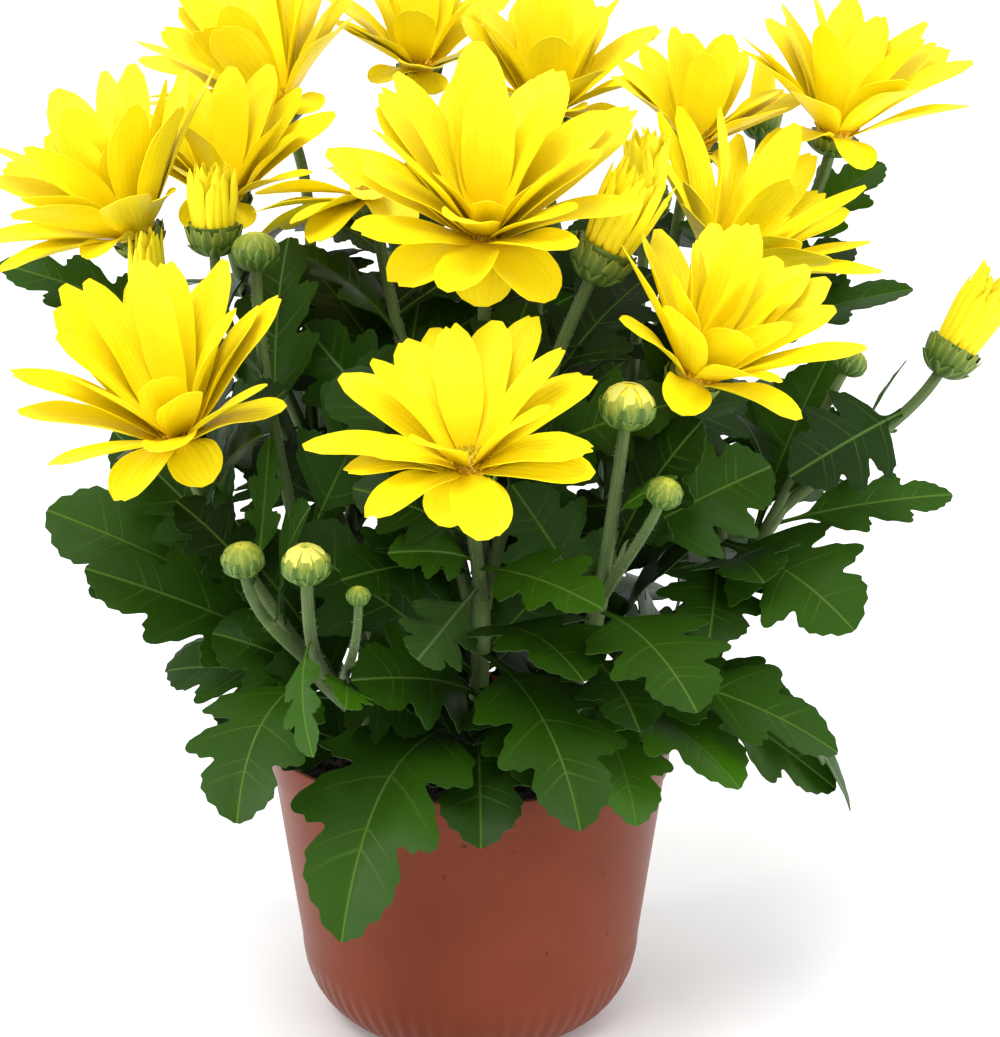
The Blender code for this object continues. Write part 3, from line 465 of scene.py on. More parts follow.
def rounded(points):
    """POINTS with one more between each two, on a smooth curve through them."""
    table = np.array(points)
    whole = np.vstack([2.0 * table[0] - table[1], table, 2.0 * table[-1] - table[-2]])
    between = (9.0 * (whole[1:-2] + whole[2:-1]) - whole[:-3] - whole[3:]) / 16.0
    rows = np.empty((2 * len(table) - 1, 2))
    rows[0::2] = table
    rows[1::2] = between
    return rows


def unit(vectors):
    return vectors / np.maximum(np.linalg.norm(vectors, axis=1, keepdims=True), 1e-12)


def moved(matrix, points):
    """POINTS, a row each, through the 4x4 MATRIX."""
    whole = np.array(matrix)
    return points @ whole[:3, :3].T + whole[:3, 3]


def round_axis(matrix, radius, turn, height, side=0.0):
    """Points at RADIUS, TURN and HEIGHT round an axis, and SIDE off to the left, through MATRIX."""
    across = radius * np.cos(turn) - side * np.sin(turn)
    ahead = radius * np.sin(turn) + side * np.cos(turn)
    return moved(matrix, np.stack([across, ahead, height], axis=1))


class Blank:
    """A mesh that is modelled once, in its own coordinates, and copied."""

    def __init__(self, piece):
        mesh = piece.data
        flat = np.empty(3 * len(mesh.vertices))
        mesh.vertices.foreach_get("co", flat)
        self.points = flat.reshape(-1, 3)
        self.faces = [tuple(face.vertices) for face in mesh.polygons]
        uvs = np.empty(2 * len(mesh.loops))
        mesh.uv_layers[0].data.foreach_get("uv", uvs)
        self.uvs = uvs.reshape(-1, 2)
        bpy.data.objects.remove(piece, do_unlink=True)


def blade_blank(columns, rows):
    """A flat closed blade: X from -1 to 1 across, Y from -1 to 1 along, its two faces above and below Z 0."""
    to_object_mode()
    bpy.ops.mesh.primitive_grid_add(x_subdivisions=columns, y_subdivisions=rows, size=2.0)
    piece = bpy.context.active_object
    skin = piece.modifiers.new("Blade", "SOLIDIFY")
    skin.thickness = 0.2
    skin.offset = 0.0
    bpy.ops.object.modifier_apply(modifier=skin.name)
    return Blank(piece)


def pick(piece, parts, wanted):
    """Edit mode with only those PARTS of a piece selected, its edges or faces, that are WANTED."""
    bpy.ops.object.transform_apply(location=True)
    bpy.ops.object.mode_set(mode="EDIT")
    bpy.ops.mesh.select_all(action="DESELECT")
    cage = bmesh.from_edit_mesh(piece.data)
    for part in getattr(cage, parts):
        part.select = wanted(part)
    bmesh.update_edit_mesh(piece.data)


def tube_blank(sides, rings):
    """A closed round bar, one in radius, Z from 0 to 1 in RINGS stretches."""
    to_object_mode()
    bpy.ops.mesh.primitive_cylinder_add(vertices=sides, radius=1.0, depth=1.0, location=(0, 0, 0.5))
    piece = bpy.context.active_object
    pick(piece, "edges", lambda edge: abs(edge.verts[0].co.z - edge.verts[1].co.z) > 0.5)
    bpy.ops.mesh.subdivide(number_cuts=rings - 1)
    bpy.ops.object.mode_set(mode="OBJECT")
    return Blank(piece)


def floret_blank():
    """A small open-mouthed floret, one high, standing on Z 0."""
    to_object_mode()
    bpy.ops.mesh.primitive_cone_add(vertices=6, radius1=0.34, radius2=0.5, depth=1.0, location=(0, 0, 0.5))
    piece = bpy.context.active_object
    pick(piece, "faces", lambda face: face.normal.z > 0.9)
    bpy.ops.mesh.inset(thickness=0.22, depth=-0.35)
    bpy.ops.object.mode_set(mode="OBJECT")
    return Blank(piece)


class Sheaf:
    """Copies of blanks, gathered into the mesh of one piece."""

    def __init__(self):
        self.points = []
        self.faces = []
        self.looks = []
        self.uvs = []
        self.values = {"tone": [], "under": [], "offset": []}
        self.count = 0

    def add(self, blank, points, look=0, tone=0.5, under=0.0, offset=0.0):
        size = len(points)
        self.points.append(points)
        self.faces += [tuple(index + self.count for index in face) for face in blank.faces]
        self.looks += [look] * len(blank.faces)
        self.uvs.append(blank.uvs)
        for key, value in (("tone", tone), ("under", under), ("offset", offset)):
            self.values[key].append(np.broadcast_to(np.asarray(value, float), size))
        self.count += size

    def piece(self, name, looks, sharp=60.0):
        mesh = bpy.data.meshes.new(name)
        mesh.from_pydata(np.concatenate(self.points).tolist(), [], self.faces)
        layer = mesh.uv_layers.new(name="blade")
        layer.data.foreach_set("uv", np.concatenate(self.uvs).ravel())
        for key, parts in self.values.items():
            made = mesh.attributes.new(key, "FLOAT", "POINT")
            made.data.foreach_set("value", np.concatenate(parts).astype(np.float32))
        for look in looks:
            mesh.materials.append(look)
        mesh.polygons.foreach_set("material_index", self.looks)
        made = shown(name, mesh)
        bpy.ops.object.shade_smooth_by_angle(angle=math.radians(sharp))
        return made


def on_surface(blank, surface, thickness):
    """BLANK's points moved onto SURFACE(along, across), with its two faces THICKNESS(along, across) apart."""
    across = blank.points[:, 0]
    along = 0.5 * (blank.points[:, 1] + 1.0)
    step = 1e-3
    middle = surface(along, across)
    ahead = surface(np.minimum(along + step, 1.0), across) - surface(np.maximum(along - step, 0.0), across)
    aside = surface(along, across + step) - surface(along, across - step)
    face = unit(np.cross(aside, ahead))
    half = 0.5 * np.sign(blank.points[:, 2]) * thickness(along, across)
    return middle + face * half[:, None]


def hermite(start, leave, end, arrive, share):
    """The point at SHARE of a smooth curve that leaves START and arrives at END with the given pulls."""
    square = share * share
    cube = square * share
    point = start * (2.0 * cube - 3.0 * square + 1.0)
    point += leave * (cube - 2.0 * square + share)
    point += end * (3.0 * square - 2.0 * cube)
    point += arrive * (cube - square)
    return point


def on_route(points, share):
    """The point at SHARE of a run of POINTS, and the direction there."""
    place = share * (len(points) - 1)
    index = min(int(place), len(points) - 2)
    step = points[index + 1] - points[index]
    return points[index] + step * (place - index), step.normalized()


def stem_routes(rings):
    """Each stem's points as in the CAD model, and a finer run of RINGS stretches along the same curve."""
    coarse = {}
    fine = {}
    for name, (_, start, end, aim, _) in STEMS.items():
        end = mm(*end)
        before = []
        if isinstance(start[0], str):
            origin, along = on_route(coarse[start[0]], start[1])
            leave = (along + (end - origin).normalized()).normalized()
        else:
            before = [Vector((*mm(*start), ROOT_BOTTOM))]
            origin = Vector((*mm(*start), SOIL_TOP + MM))
            leave = Vector((0.0, 0.0, 1.0))
        reach = (end - origin).length
        steps = max(3, round(reach / STEM_REACH))
        pull = STEM_PULL * reach
        arrive = lean(*aim) * pull

        def run(count):
            return [hermite(origin, leave * pull, end, arrive, n / count) for n in range(count + 1)]

        coarse[name] = before + run(steps)
        fine[name] = before + run(rings - len(before) - 1) + [end + lean(*aim) * SUNK]
    return coarse, fine


def petal_half_width(along):
    """A petal's half width along its length: a narrow claw, full from the middle on, a rounded tip."""
    rise = 0.28 + 0.72 * np.sin(0.5 * math.pi * np.minimum(along, 0.54) / 0.54)
    tip = np.clip((along - 0.66) / 0.34, 0.0, 1.0)
    return rise * np.sqrt(1.0 - 0.95 * tip**2.1)


class Petal:
    """One petal: where it roots, how it opens and bends, and what makes it differ from the next."""

    def __init__(self, stand, turn, root, length, width, opening, bend, twist, chance=None):
        out = Vector((math.cos(turn), math.sin(turn), 0.0))
        up = Vector((0.0, 0.0, 1.0))
        self.out = np.array(out)
        self.up = np.array(up)
        self.side = np.array(up.cross(out))
        self.place = stand @ Matrix.Translation(out * root[0] + up * root[1])
        self.length = length
        self.width = width
        self.first = opening - 0.4 * bend
        self.sweep = max(bend, math.radians(1.0))
        self.twist = twist
        self.cup = self.channel = self.notch = self.round = self.ripple = self.phase = 0.0
        if chance:
            self.cup = chance.uniform(0.04, 0.14)
            self.round = chance.uniform(0.07, 0.13)
            self.notch = chance.choice((0.0, 0.0, 0.0, 0.025, 0.045))
            self.ripple = chance.uniform(0.0, 0.03)
            self.phase = chance.uniform(0.0, 6.0)

    def points(self, along, across):
        """The surface at arrays of shares along and across; ACROSS 1 is the petal's full half width."""
        short = 1.0 - self.round * np.abs(across) ** 2.4
        short -= self.notch * np.exp(-((across - 0.08) / 0.16) ** 2)
        run = along * (1.0 - (1.0 - short) * along**3)
        angle = self.first + self.sweep * run
        reach = (math.cos(self.first) - np.cos(angle)) * self.length / self.sweep
        rise = (np.sin(angle) - math.sin(self.first)) * self.length / self.sweep
        tilt = self.twist * np.minimum(1.0, 2.0 * run)
        inward = self.up * np.sin(angle)[:, None] - self.out * np.cos(angle)[:, None]
        flat = self.side * np.cos(tilt)[:, None] + inward * np.sin(tilt)[:, None]
        normal = inward * np.cos(tilt)[:, None] - self.side * np.sin(tilt)[:, None]
        fade = np.sin(math.pi * np.clip(0.08 + 0.84 * along, 0.0, 1.0))
        lift = self.cup * self.width * (across**2 - 0.33) * fade
        lift += self.channel * np.cos(2.0 * math.pi * across) * fade
        lift += self.ripple * self.width * across**2 * np.sin(9.0 * along + self.phase + 2.0 * across)
        half = 0.5 * self.width * across * (1.0 - 0.35 * self.cup * across**2)
        local = self.out * reach[:, None] + self.up * rise[:, None]
        local += flat * half[:, None] + normal * lift[:, None]
        return moved(self.place, local)

    def surface(self, along, across):
        return self.points(along, across * petal_half_width(along))

    def corners(self, cells):
        """The points that the CAD blade has beyond its root: rows of left and right corners."""
        along = np.repeat(np.arange(1, cells + 1) / cells, 2)
        across = np.tile((-1.0, 1.0), cells)
        wide = np.where(along < 0.45, 0.18 + 0.82 * np.sin(0.5 * math.pi * along / 0.45), 1.0)
        wide -= 0.52 * (np.clip(along - 0.75, 0.0, 0.25) / 0.25) ** 2
        return self.points(along, across * wide)


def petal_bends():
    """Changes of opening and azimuth in degrees and of length, in the CAD source's order."""
    for share in (1.0, 0.86, 0.72):
        for opening in (0, -8, 8, -16, 16, -24, 24):
            for azimuth in (0, -7, 7):
                yield math.radians(opening), math.radians(azimuth), share


def leaf_bends():
    """Changes of azimuth, lift and roll in degrees and of size, in the CAD source's order."""
    for share in (1.0, 0.85, 0.7):
        for lift in (0, -8, 8, -16, 16, -26, 26):
            for azimuth in (0, -8, 8, -16, 16, -26, 26):
                for roll in (0, 20, -20):
                    yield azimuth, lift, roll, share


def front_turn(name):
    """The azimuth, in a head's own frame, that faces the pot's front."""
    turn = lean(*STEMS[name][3]).to_track_quat("Z", "Y").to_matrix()
    front = turn.inverted() @ Vector((0.0, -1.0, 0.0))
    return math.atan2(front.y, front.x)


def petal_plan(name):
    """The CAD petals of an open bloom: row, azimuth, root, length, width, opening, bend and twist of each."""
    counts, (length, width), openings, bend = BLOOMS[name]
    chance = random.Random(name)
    begin = chance.uniform(0.0, 2.0 * math.pi)
    facing = front_turn(name)
    for row, count in enumerate(counts):
        for index in range(count):
            shift = index + 0.5 * row + chance.uniform(-TURN_SPREAD, TURN_SPREAD)
            turn = begin + 2.0 * math.pi * shift / count
            opened = openings[row] + FRONT_OPENING * math.cos(turn - facing)
            yield (
                row,
                turn,
                (PETAL_ROOTS[row][0] * MM, CUP_DEPTH + PETAL_ROOTS[row][1] * MM),
                length * MM * chance.uniform(*LENGTH_SPREAD) * ROW_LENGTHS[row],
                width * MM * chance.uniform(*WIDTH_SPREAD) * ROW_WIDTHS[row],
                math.radians(opened + chance.uniform(-OPENING_SPREAD, OPENING_SPREAD)),
                math.radians(bend + chance.uniform(*BEND_SPREAD)),
                math.radians(chance.uniform(-TWIST_SPREAD, TWIST_SPREAD)),
            )


EDGE, HALF = rounded(LEAF_EDGE).T
ROWS = np.linspace(0.0, 1.0, len(EDGE))
RIB = 0.8 * np.maximum.accumulate(np.maximum(0.0, EDGE - VEIN_LEAD * HALF)) + 0.2 * ROWS
RIB[-1] = 1.0


class Leaf:
    """One leaf: its chord, width, bow and roll, with the face that looks up."""

    def __init__(self, base, tip, width, bow, roll, chance=None):
        chord = tip - base
        self.base = np.array(base)
        self.chord = np.array(chord)
        self.length = chord.length
        self.width = width
        self.bow = bow
        along = chord.normalized()
        skyward = Vector((tip.x, tip.y, 0.0)).normalized() * LEAF_OUTWARD + Vector((0.0, 0.0, 1.0))
        face = (skyward - along * along.dot(skyward)).normalized()
        face = Matrix.Rotation(math.radians(roll), 3, along) @ face
        self.face = np.array(face)
        self.side = np.array(along.cross(face))
        self.ripple = chance.uniform(0.006, 0.016) if chance else 0.0
        self.phase = chance.uniform(0.0, 6.0) if chance else 0.0

    def points(self, forward, across):
        middle = self.base + self.chord * forward[:, None]
        middle += self.face * (4.0 * self.bow * forward * (1.0 - forward))[:, None]
        run = unit(self.chord + self.face * (4.0 * self.bow * (1.0 - 2.0 * forward))[:, None])
        near = np.abs(across)
        lift = near * LEAF_FOLD * (1.0 - 1.2 * near) * self.width
        lift += LEAF_WAVE * np.sin(9.0 * forward + 3.0 * across) * across * self.length
        wave = np.sin(24.0 * forward + self.phase + 4.0 * across)
        lift += self.ripple * self.length * (2.0 * near) ** 2 * wave
        up = np.cross(self.side, run)
        return middle + self.side * (across * self.width)[:, None] + up * lift[:, None]

    def surface(self, along, across):
        rib, edge, half = (np.interp(along, ROWS, column) for column in (RIB, EDGE, HALF))
        return self.points(rib + (edge - rib) * np.abs(across) ** 1.12, across * half)

    def corners(self):
        """The CAD blade's points beyond its stalk."""
        table = np.array(CAD_OUTLINE[2:])
        forward = np.concatenate([table[:, 0], table[:, 1], table[:, 1]])
        across = np.concatenate([0.0 * table[:, 0], -table[:, 2], table[:, 2]])
        return self.points(forward, across)


def bent_tip(base, tip, azimuth, lift, share):
    """TIP turned about BASE by AZIMUTH and LIFT degrees, at SHARE of its reach."""
    reach = (tip - base) * share
    reach = Matrix.Rotation(math.radians(azimuth), 3, "Z") @ reach
    level = Vector((reach.y, -reach.x, 0.0)).normalized()
    return base + Matrix.Rotation(math.radians(lift), 3, level) @ reach


def tree_of(node):
    mesh = NODES[node].data
    corners = [point.co.copy() for point in mesh.vertices]
    return BVHTree.FromPolygons(corners, [tuple(face.vertices) for face in mesh.polygons])


TREES = {name: tree_of(name) for name in NODES}


def strays(node, points):
    """How far POINTS are from the surface of a CAD node, on average."""
    tree = TREES[node]
    return sum(tree.find_nearest(Vector(point))[3] for point in points) / len(points)


def closest(node, choices, enough):
    """The first of CHOICES whose corners lie within ENOUGH of the CAD node, or the nearest one."""
    best = None
    for choice, corners in choices:
        away = strays(node, corners)
        if best is None or away < best[0]:
            best = (away, choice)
        if away < enough:
            break
    return best[1] if best[0] < 3.0 * enough else None


def grid_tree(surface, columns, rows, first):
    """A coarse tree of SURFACE from the share FIRST on."""
    along, across = np.meshgrid(np.linspace(first, 1.0, rows + 1), np.linspace(-1.0, 1.0, columns + 1))
    points = surface(along.ravel(), across.ravel())
    faces = []
    for column in range(columns):
        for row in range(rows):
            corner = column * (rows + 1) + row
            faces.append((corner, corner + 1, corner + rows + 2, corner + rows + 1))
    return BVHTree.FromPolygons([Vector(point) for point in points], faces)


class Room:
    """What stands already: a new blade may not cross it."""

    def __init__(self):
        self.placed = dict(TREES)

    def free(self, own, surface, first):
        whole = grid_tree(surface, 4, 8, 0.0)
        beyond = grid_tree(surface, 4, 8, first)
        for name, tree in self.placed.items():
            if tree.overlap(beyond if name == own or name.startswith(own + " ") else whole):
                return False
        return True

    def add(self, own, surface, first):
        self.placed[f"{own} {len(self.placed)}"] = grid_tree(surface, 4, 8, first)


ROOM = Room()


class Look:
    """A procedural material, built node by node round one Principled shader."""

    def __init__(self, name, roughness, specular=0.5, **values):
        self.material = bpy.data.materials.new(name)
        self.material.use_nodes = True
        self.tree = self.material.node_tree
        self.shader = self.tree.nodes["Principled BSDF"]
        self.set("Roughness", roughness)
        self.set("Specular IOR Level", specular)
        for key, value in values.items():
            self.set(key.replace("_", " ").title(), value)

    def node(self, kind, *inputs, out=0, **settings):
        made = self.tree.nodes.new("ShaderNode" + kind)
        for key, value in settings.items():
            setattr(made, key, value)
        for index, value in enumerate(inputs):
            if value is not None:
                self.give(made.inputs[index], value)
        return made.outputs[out]

    def give(self, socket, value):
        if isinstance(value, bpy.types.NodeSocket):
            self.tree.links.new(value, socket)
        else:
            socket.default_value = value

    def set(self, name, value):
        self.give(self.shader.inputs[name], value)

    def place(self, kind="Object"):
        return self.tree.nodes.new("ShaderNodeTexCoord").outputs[kind]

    def value(self, name):
        return self.node("Attribute", attribute_name=name, out=2)

    def apart(self, vector):
        made = self.tree.nodes.new("ShaderNodeSeparateXYZ")
        self.give(made.inputs[0], vector)
        return made.outputs

    def maths(self, kind, *values):
        return self.node("Math", *values, operation=kind)

    def scaled(self, vector, *scale):
        return self.node("Mapping", vector, None, None, scale)

    def noise(self, vector, scale, detail=3.0, rough=0.5):
        return self.node("TexNoise", vector, None, scale, detail, rough)

    def cells(self, vector, scale):
        return self.node("TexVoronoi", vector, None, scale, feature="DISTANCE_TO_EDGE")

    def ramp(self, factor, *stops):
        made = self.tree.nodes.new("ShaderNodeValToRGB")
        points = made.color_ramp.elements
        for index, (place, colour) in enumerate(stops):
            if isinstance(colour, float):
                colour = (colour, colour, colour)
            point = points[index] if index < 2 else points.new(place)
            point.position = place
            point.color = (*colour, 1.0)
        self.give(made.inputs[0], factor)
        return made.outputs[0]

    def mix(self, factor, first, second):
        pair = [(*value, 1.0) if isinstance(value, tuple) else value for value in (first, second)]
        return self.node("Mix", factor, None, None, None, None, None, *pair, out=2, data_type="RGBA")

    def over(self, body, colour, pattern, low, high, share=1.0):
        """COLOUR over BODY, from nothing where PATTERN is LOW to SHARE where it is HIGH."""
        return self.mix(self.ramp(pattern, (low, 0.0), (high, share)), body, colour)

    def from_middle(self, across):
        """0 on a blade's middle line, 1 on its edges."""
        return self.maths("ABSOLUTE", self.maths("SUBTRACT", self.maths("MULTIPLY", across, 2.0), 1.0))

    def bump(self, height, strength, distance, before=None):
        return self.node("Bump", strength, distance, None, height, before)


def petal_look(settings, name="yellow petal", colour=None):
    look = Look(name, 0.5, 0.25)
    uv = look.place("UV")
    across, along, _ = look.apart(uv)
    petal = tuple(colour or settings.petal)
    root = tuple(settings.root)
    body = look.ramp(along, (0.0, root), (0.34, petal), (1.0, petal))
    tone = look.value("tone")
    body = look.mix(tone, body, look.mix(0.75, body, root))
    streak = look.noise(look.scaled(uv, 46.0, 1.6, 1.0), 1.0, 2.0)
    body = look.over(body, look.mix(0.45, body, root), streak, 0.35, 0.75, 0.32)
    blotch = look.noise(look.place(), 90.0, 2.0)
    body = look.over(body, (0.93, 0.78, 0.03), blotch, 0.45, 0.8, 0.22)
    look.set("Base Color", body)
    rib = look.maths("SINE", look.maths("MULTIPLY", across, 44.0))
    fine = look.bump(rib, 0.16, 0.00025)
    look.set("Normal", look.bump(streak, 0.35, 0.0004, fine))
    return look.material


def leaf_look(settings):
    look = Look("cut leaf", 0.42, 0.11)
    uv = look.place("UV")
    across, along, _ = look.apart(uv)
    tone = look.value("tone")
    dark = tuple(settings.dark)
    bright = tuple(settings.bright)
    # Tone mixes the dark and bright colours: partly the leaf colour itself, partly painted shade that darkens
    # leaves deep in the plant
    body = look.mix(tone, dark, bright)
    patch = look.noise(look.place(), 75.0, 3.0)
    body = look.over(body, look.mix(0.5, body, dark), patch, 0.35, 0.75, 0.35)
    stops = [(0.0, 0.0)]
    for point in VEINS:
        place = ROWS[2 * point]
        stops += [(place - 0.006, 0.0), (place, 1.0), (place + 0.006, 0.0)]
    side_vein = look.ramp(along, *stops)
    near = look.from_middle(across)
    side_vein = look.maths("MULTIPLY", side_vein, look.ramp(near, (0.0, 0.5), (0.9, 0.05)))
    midrib = look.ramp(look.value("offset"), (0.0, 1.0), (0.055, 0.0))
    vein = look.maths("MAXIMUM", side_vein, midrib)
    net = look.ramp(look.cells(look.place(), 430.0), (0.0, 1.0), (0.12, 0.0))
    body = look.mix(look.maths("MULTIPLY", net, 0.22), body, look.mix(0.4, body, bright))
    pale = look.mix(0.6, body, (0.13, 0.24, 0.03))
    body = look.mix(look.maths("MULTIPLY", vein, 0.85), body, pale)
    under = look.value("under")
    below = look.mix(look.maths("MULTIPLY", vein, 0.5), tuple(settings.under), (0.16, 0.24, 0.11))
    look.set("Base Color", look.mix(under, body, below))
    look.set("Roughness", look.ramp(patch, (0.3, 0.36), (0.7, 0.52)))
    look.set("Normal", look.bump(look.maths("SUBTRACT", 1.0, vein), 0.5, 0.0005))
    return look.material


def stem_look(settings):
    look = Look("ribbed stem", 0.58, 0.25, sheen_weight=0.08)
    uv = look.place("UV")
    stem = tuple(settings.stem)
    streak = look.noise(look.scaled(uv, 22.0, 1.2, 1.0), 1.0, 3.0)
    dark = tuple(0.55 * part for part in stem)
    body = look.over(dark, stem, streak, 0.35, 0.7)
    patch = look.noise(look.place(), 60.0, 2.0)
    body = look.over(body, (0.12, 0.20, 0.05), patch, 0.45, 0.75, 0.5)
    look.set("Base Color", body)
    look.set("Normal", look.bump(streak, 0.4, 0.0003))
    return look.material


def hair_look():
    look = Look("stem hair", 0.6)
    tone = look.value("tone")
    look.set("Base Color", look.mix(tone, (0.22, 0.28, 0.13), (0.40, 0.46, 0.27)))
    return look.material


def bract_look():
    look = Look("green bract", 0.52, 0.25)
    uv = look.place("UV")
    across, along, _ = look.apart(uv)
    middle = (0.034, 0.085, 0.009)
    side = (0.065, 0.140, 0.015)
    rim = (0.20, 0.28, 0.055)
    green = look.ramp(look.from_middle(across), (0.0, middle), (0.45, side), (0.85, rim))
    streak = look.noise(look.scaled(uv, 12.0, 1.5, 1.0), 1.0, 2.0)
    green = look.over(green, (0.028, 0.066, 0.008), streak, 0.35, 0.75, 0.6)
    pale = look.maths("MULTIPLY", look.value("tone"), look.ramp(along, (0.55, 0.0), (1.0, 1.0)))
    look.set("Base Color", look.mix(pale, green, (0.45, 0.47, 0.05)))
    look.set("Normal", look.bump(streak, 0.4, 0.0003))
    return look.material


def floret_look(settings):
    look = Look("disc floret", 0.55, subsurface_weight=0.1, subsurface_scale=0.001)
    tone = look.value("tone")
    speck = look.noise(look.place(), 900.0, 2.0)
    young = tuple(settings.disc)
    body = look.ramp(tone, (0.0, young), (0.55, (0.80, 0.55, 0.01)), (1.0, (0.93, 0.60, 0.005)))
    look.set("Base Color", look.over(body, (0.70, 0.36, 0.01), speck, 0.4, 0.7, 0.4))
    look.set("Normal", look.bump(speck, 0.3, 0.0002))
    return look.material


def pot_look(settings):
    look = Look("terracotta plastic", 0.36, 0.14)
    place = look.place()
    base = tuple(settings.colour)
    cloud = look.noise(place, 22.0, 4.0)
    dark = tuple(0.86 * part for part in base)
    dusty = tuple(1.08 * part + 0.003 for part in base)
    body = look.over(dark, dusty, cloud, 0.35, 0.7)
    drawn = look.noise(look.scaled(place, 180.0, 180.0, 9.0), 1.0, 2.0)
    body = look.over(body, dark, drawn, 0.55, 0.8, 0.25)
    speck = look.noise(place, 330.0, 1.0)
    body = look.over(body, (0.030, 0.012, 0.008), speck, 0.765, 0.775, 0.8)
    look.set("Base Color", body)
    scuff = look.noise(place, 420.0, 3.0)
    look.set("Roughness", look.ramp(cloud, (0.3, 0.31), (0.75, 0.44)))
    look.set("Normal", look.bump(scuff, 0.07, 0.0002))
    return look.material


def soil_look(settings):
    look = Look("moist potting soil", 0.92)
    place = look.place()
    base = tuple(settings.colour)
    lump = look.noise(place, 320.0, 5.0, 0.65)
    fibre = look.noise(look.scaled(place, 900.0, 260.0, 900.0), 1.0, 3.0)
    damp = tuple(0.4 * part for part in base)
    body = look.ramp(lump, (0.3, damp), (0.6, base), (0.85, (0.085, 0.058, 0.038)))
    body = look.over(body, (0.13, 0.085, 0.050), fibre, 0.62, 0.72, 0.7)
    look.set("Base Color", body)
    look.set("Roughness", look.ramp(lump, (0.2, 0.75), (0.8, 0.98)))
    look.set("Normal", look.bump(lump, 0.8, 0.0012))
    return look.material


def ride_as(piece, node):
    """PIECE goes with the plant and stands for NODE."""
    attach(piece, "root")
    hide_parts(node)


def spun(name, profile, steps):
    """A closed solid turned round Z from a closed PROFILE of (radius, height)."""
    mesh = bpy.data.meshes.new(name)
    edges = [(index, index + 1) for index in range(len(profile) - 1)]
    mesh.from_pydata([(radius, 0.0, height) for radius, height in profile], edges, [])
    made = shown(name, mesh)
    bpy.ops.object.mode_set(mode="EDIT")
    bpy.ops.mesh.select_all(action="SELECT")
    bpy.ops.mesh.spin(steps=steps, angle=2.0 * math.pi, center=(0, 0, 0), axis=(0, 0, 1))
    bpy.ops.mesh.select_all(action="SELECT")
    bpy.ops.mesh.remove_doubles(threshold=1e-6)
    bpy.ops.mesh.normals_make_consistent(inside=False)
    bpy.ops.object.mode_set(mode="OBJECT")
    return made


def arc(centre, radius, first, last, steps):
    """Points on an arc round CENTRE, from FIRST to LAST degrees."""
    points = []
    for step in range(steps + 1):
        turn = math.radians(first + (last - first) * step / steps)
        points.append((centre[0] + radius[0] * math.cos(turn), centre[1] + radius[1] * math.sin(turn)))
    return points


def straight(start, end, steps):
    """The points that part a straight run from START to END into STEPS stretches, without its ends."""
    shares = [step / steps for step in range(1, steps)]
    return [tuple(a + (b - a) * share for a, b in zip(start, end)) for share in shares]


def pot_profile(pot):
    """The pot's section from the axis inside, over the rim and down to the axis below."""
    rim, top, wall = pot.rim_radius, pot.height, pot.wall
    foot = top - pot.lip_depth
    neck = rim - 1.4 * MM
    corner = (CORNER_RADIUS, CORNER_HEIGHT)
    outer = arc((rim - 0.5 * MM, top - 0.5 * MM), (0.5 * MM, 0.5 * MM), 90, 0, 4)
    outer += [(rim - 0.15 * MM, top - 0.4 * pot.lip_depth), (rim - 0.4 * MM, foot + 0.35 * MM)]
    outer += [(rim - 0.55 * MM, foot), (rim - 0.9 * MM, foot - 0.1 * MM), (neck, foot - 0.5 * MM)]
    outer += straight((neck, foot - 0.5 * MM), corner, 12)
    outer += arc((FOOT_RADIUS, corner[1]), (corner[0] - FOOT_RADIUS, corner[1]), 0, -90, 26)
    outer += [(22 * MM, 0.0), (14 * MM, 0.0), (6 * MM, 0.0), (0.0, 0.0)]
    inner = [(rim - wall, top - 0.25 * MM), (rim - wall, foot), (neck - wall, foot - 0.8 * MM)]
    inner += straight((neck - wall, foot - 0.8 * MM), (corner[0] - wall, corner[1] + 0.2 * MM), 6)
    inner += arc((FOOT_RADIUS - wall, corner[1]), (corner[0] - FOOT_RADIUS, corner[1] - wall), 0, -90, 14)
    inner += [(14 * MM, wall), (0.0, wall)]
    return list(reversed(inner)) + [(rim - wall + 0.3 * MM, top)] + outer


class OBJECT_OT_chrysanthemum_pot(bpy.types.Operator):
    """Turns the thin plastic pot, flutes its lower corner and drills its drainage holes"""

    bl_idname = "object.chrysanthemum_pot"
    bl_label = "Pot"

    def execute(self, context):
        settings = context.scene.chrysanthemum_pot
        pot = spun("plastic_pot", pot_profile(settings), 6 * settings.flutes)
        for point in pot.data.vertices:
            radius = math.hypot(point.co.x, point.co.y)
            height = point.co.z
            if height > FLUTE_TOP or radius < FOOT_RADIUS + MM:
                continue
            turn = math.atan2(point.co.y, point.co.x)
            window = math.sin(math.pi * min(1.0, max(0.0, (FLUTE_TOP - height) / FLUTE_TOP)))
            depth = settings.flute_depth * window * (0.5 - 0.5 * math.cos(settings.flutes * turn))
            inward = Vector((point.co.x, point.co.y, 0.6 * (height - CORNER_HEIGHT - MM))).normalized()
            point.co -= inward * depth
        for index in range(DRAIN_HOLES):
            place = polar(DRAIN_CIRCLE, 2.0 * math.pi * index / DRAIN_HOLES, 0.0)
            to_object_mode()
            bpy.ops.mesh.primitive_cylinder_add(
                vertices=24, radius=DRAIN_RADIUS, depth=5 * MM, location=place
            )
            cutter = context.active_object
            to_object_mode()
            pot.select_set(True)
            context.view_layer.objects.active = pot
            cut = pot.modifiers.new("Hole", "BOOLEAN")
            cut.operation = "DIFFERENCE"
            cut.object = cutter
            bpy.ops.object.modifier_apply(modifier=cut.name)
            bpy.data.objects.remove(cutter, do_unlink=True)
        bpy.ops.object.shade_smooth_by_angle(angle=math.radians(40))
        pot.data.materials.clear()
        pot.data.materials.append(pot_look(settings))
        ride_as(pot, "pot")
        return {"FINISHED"}


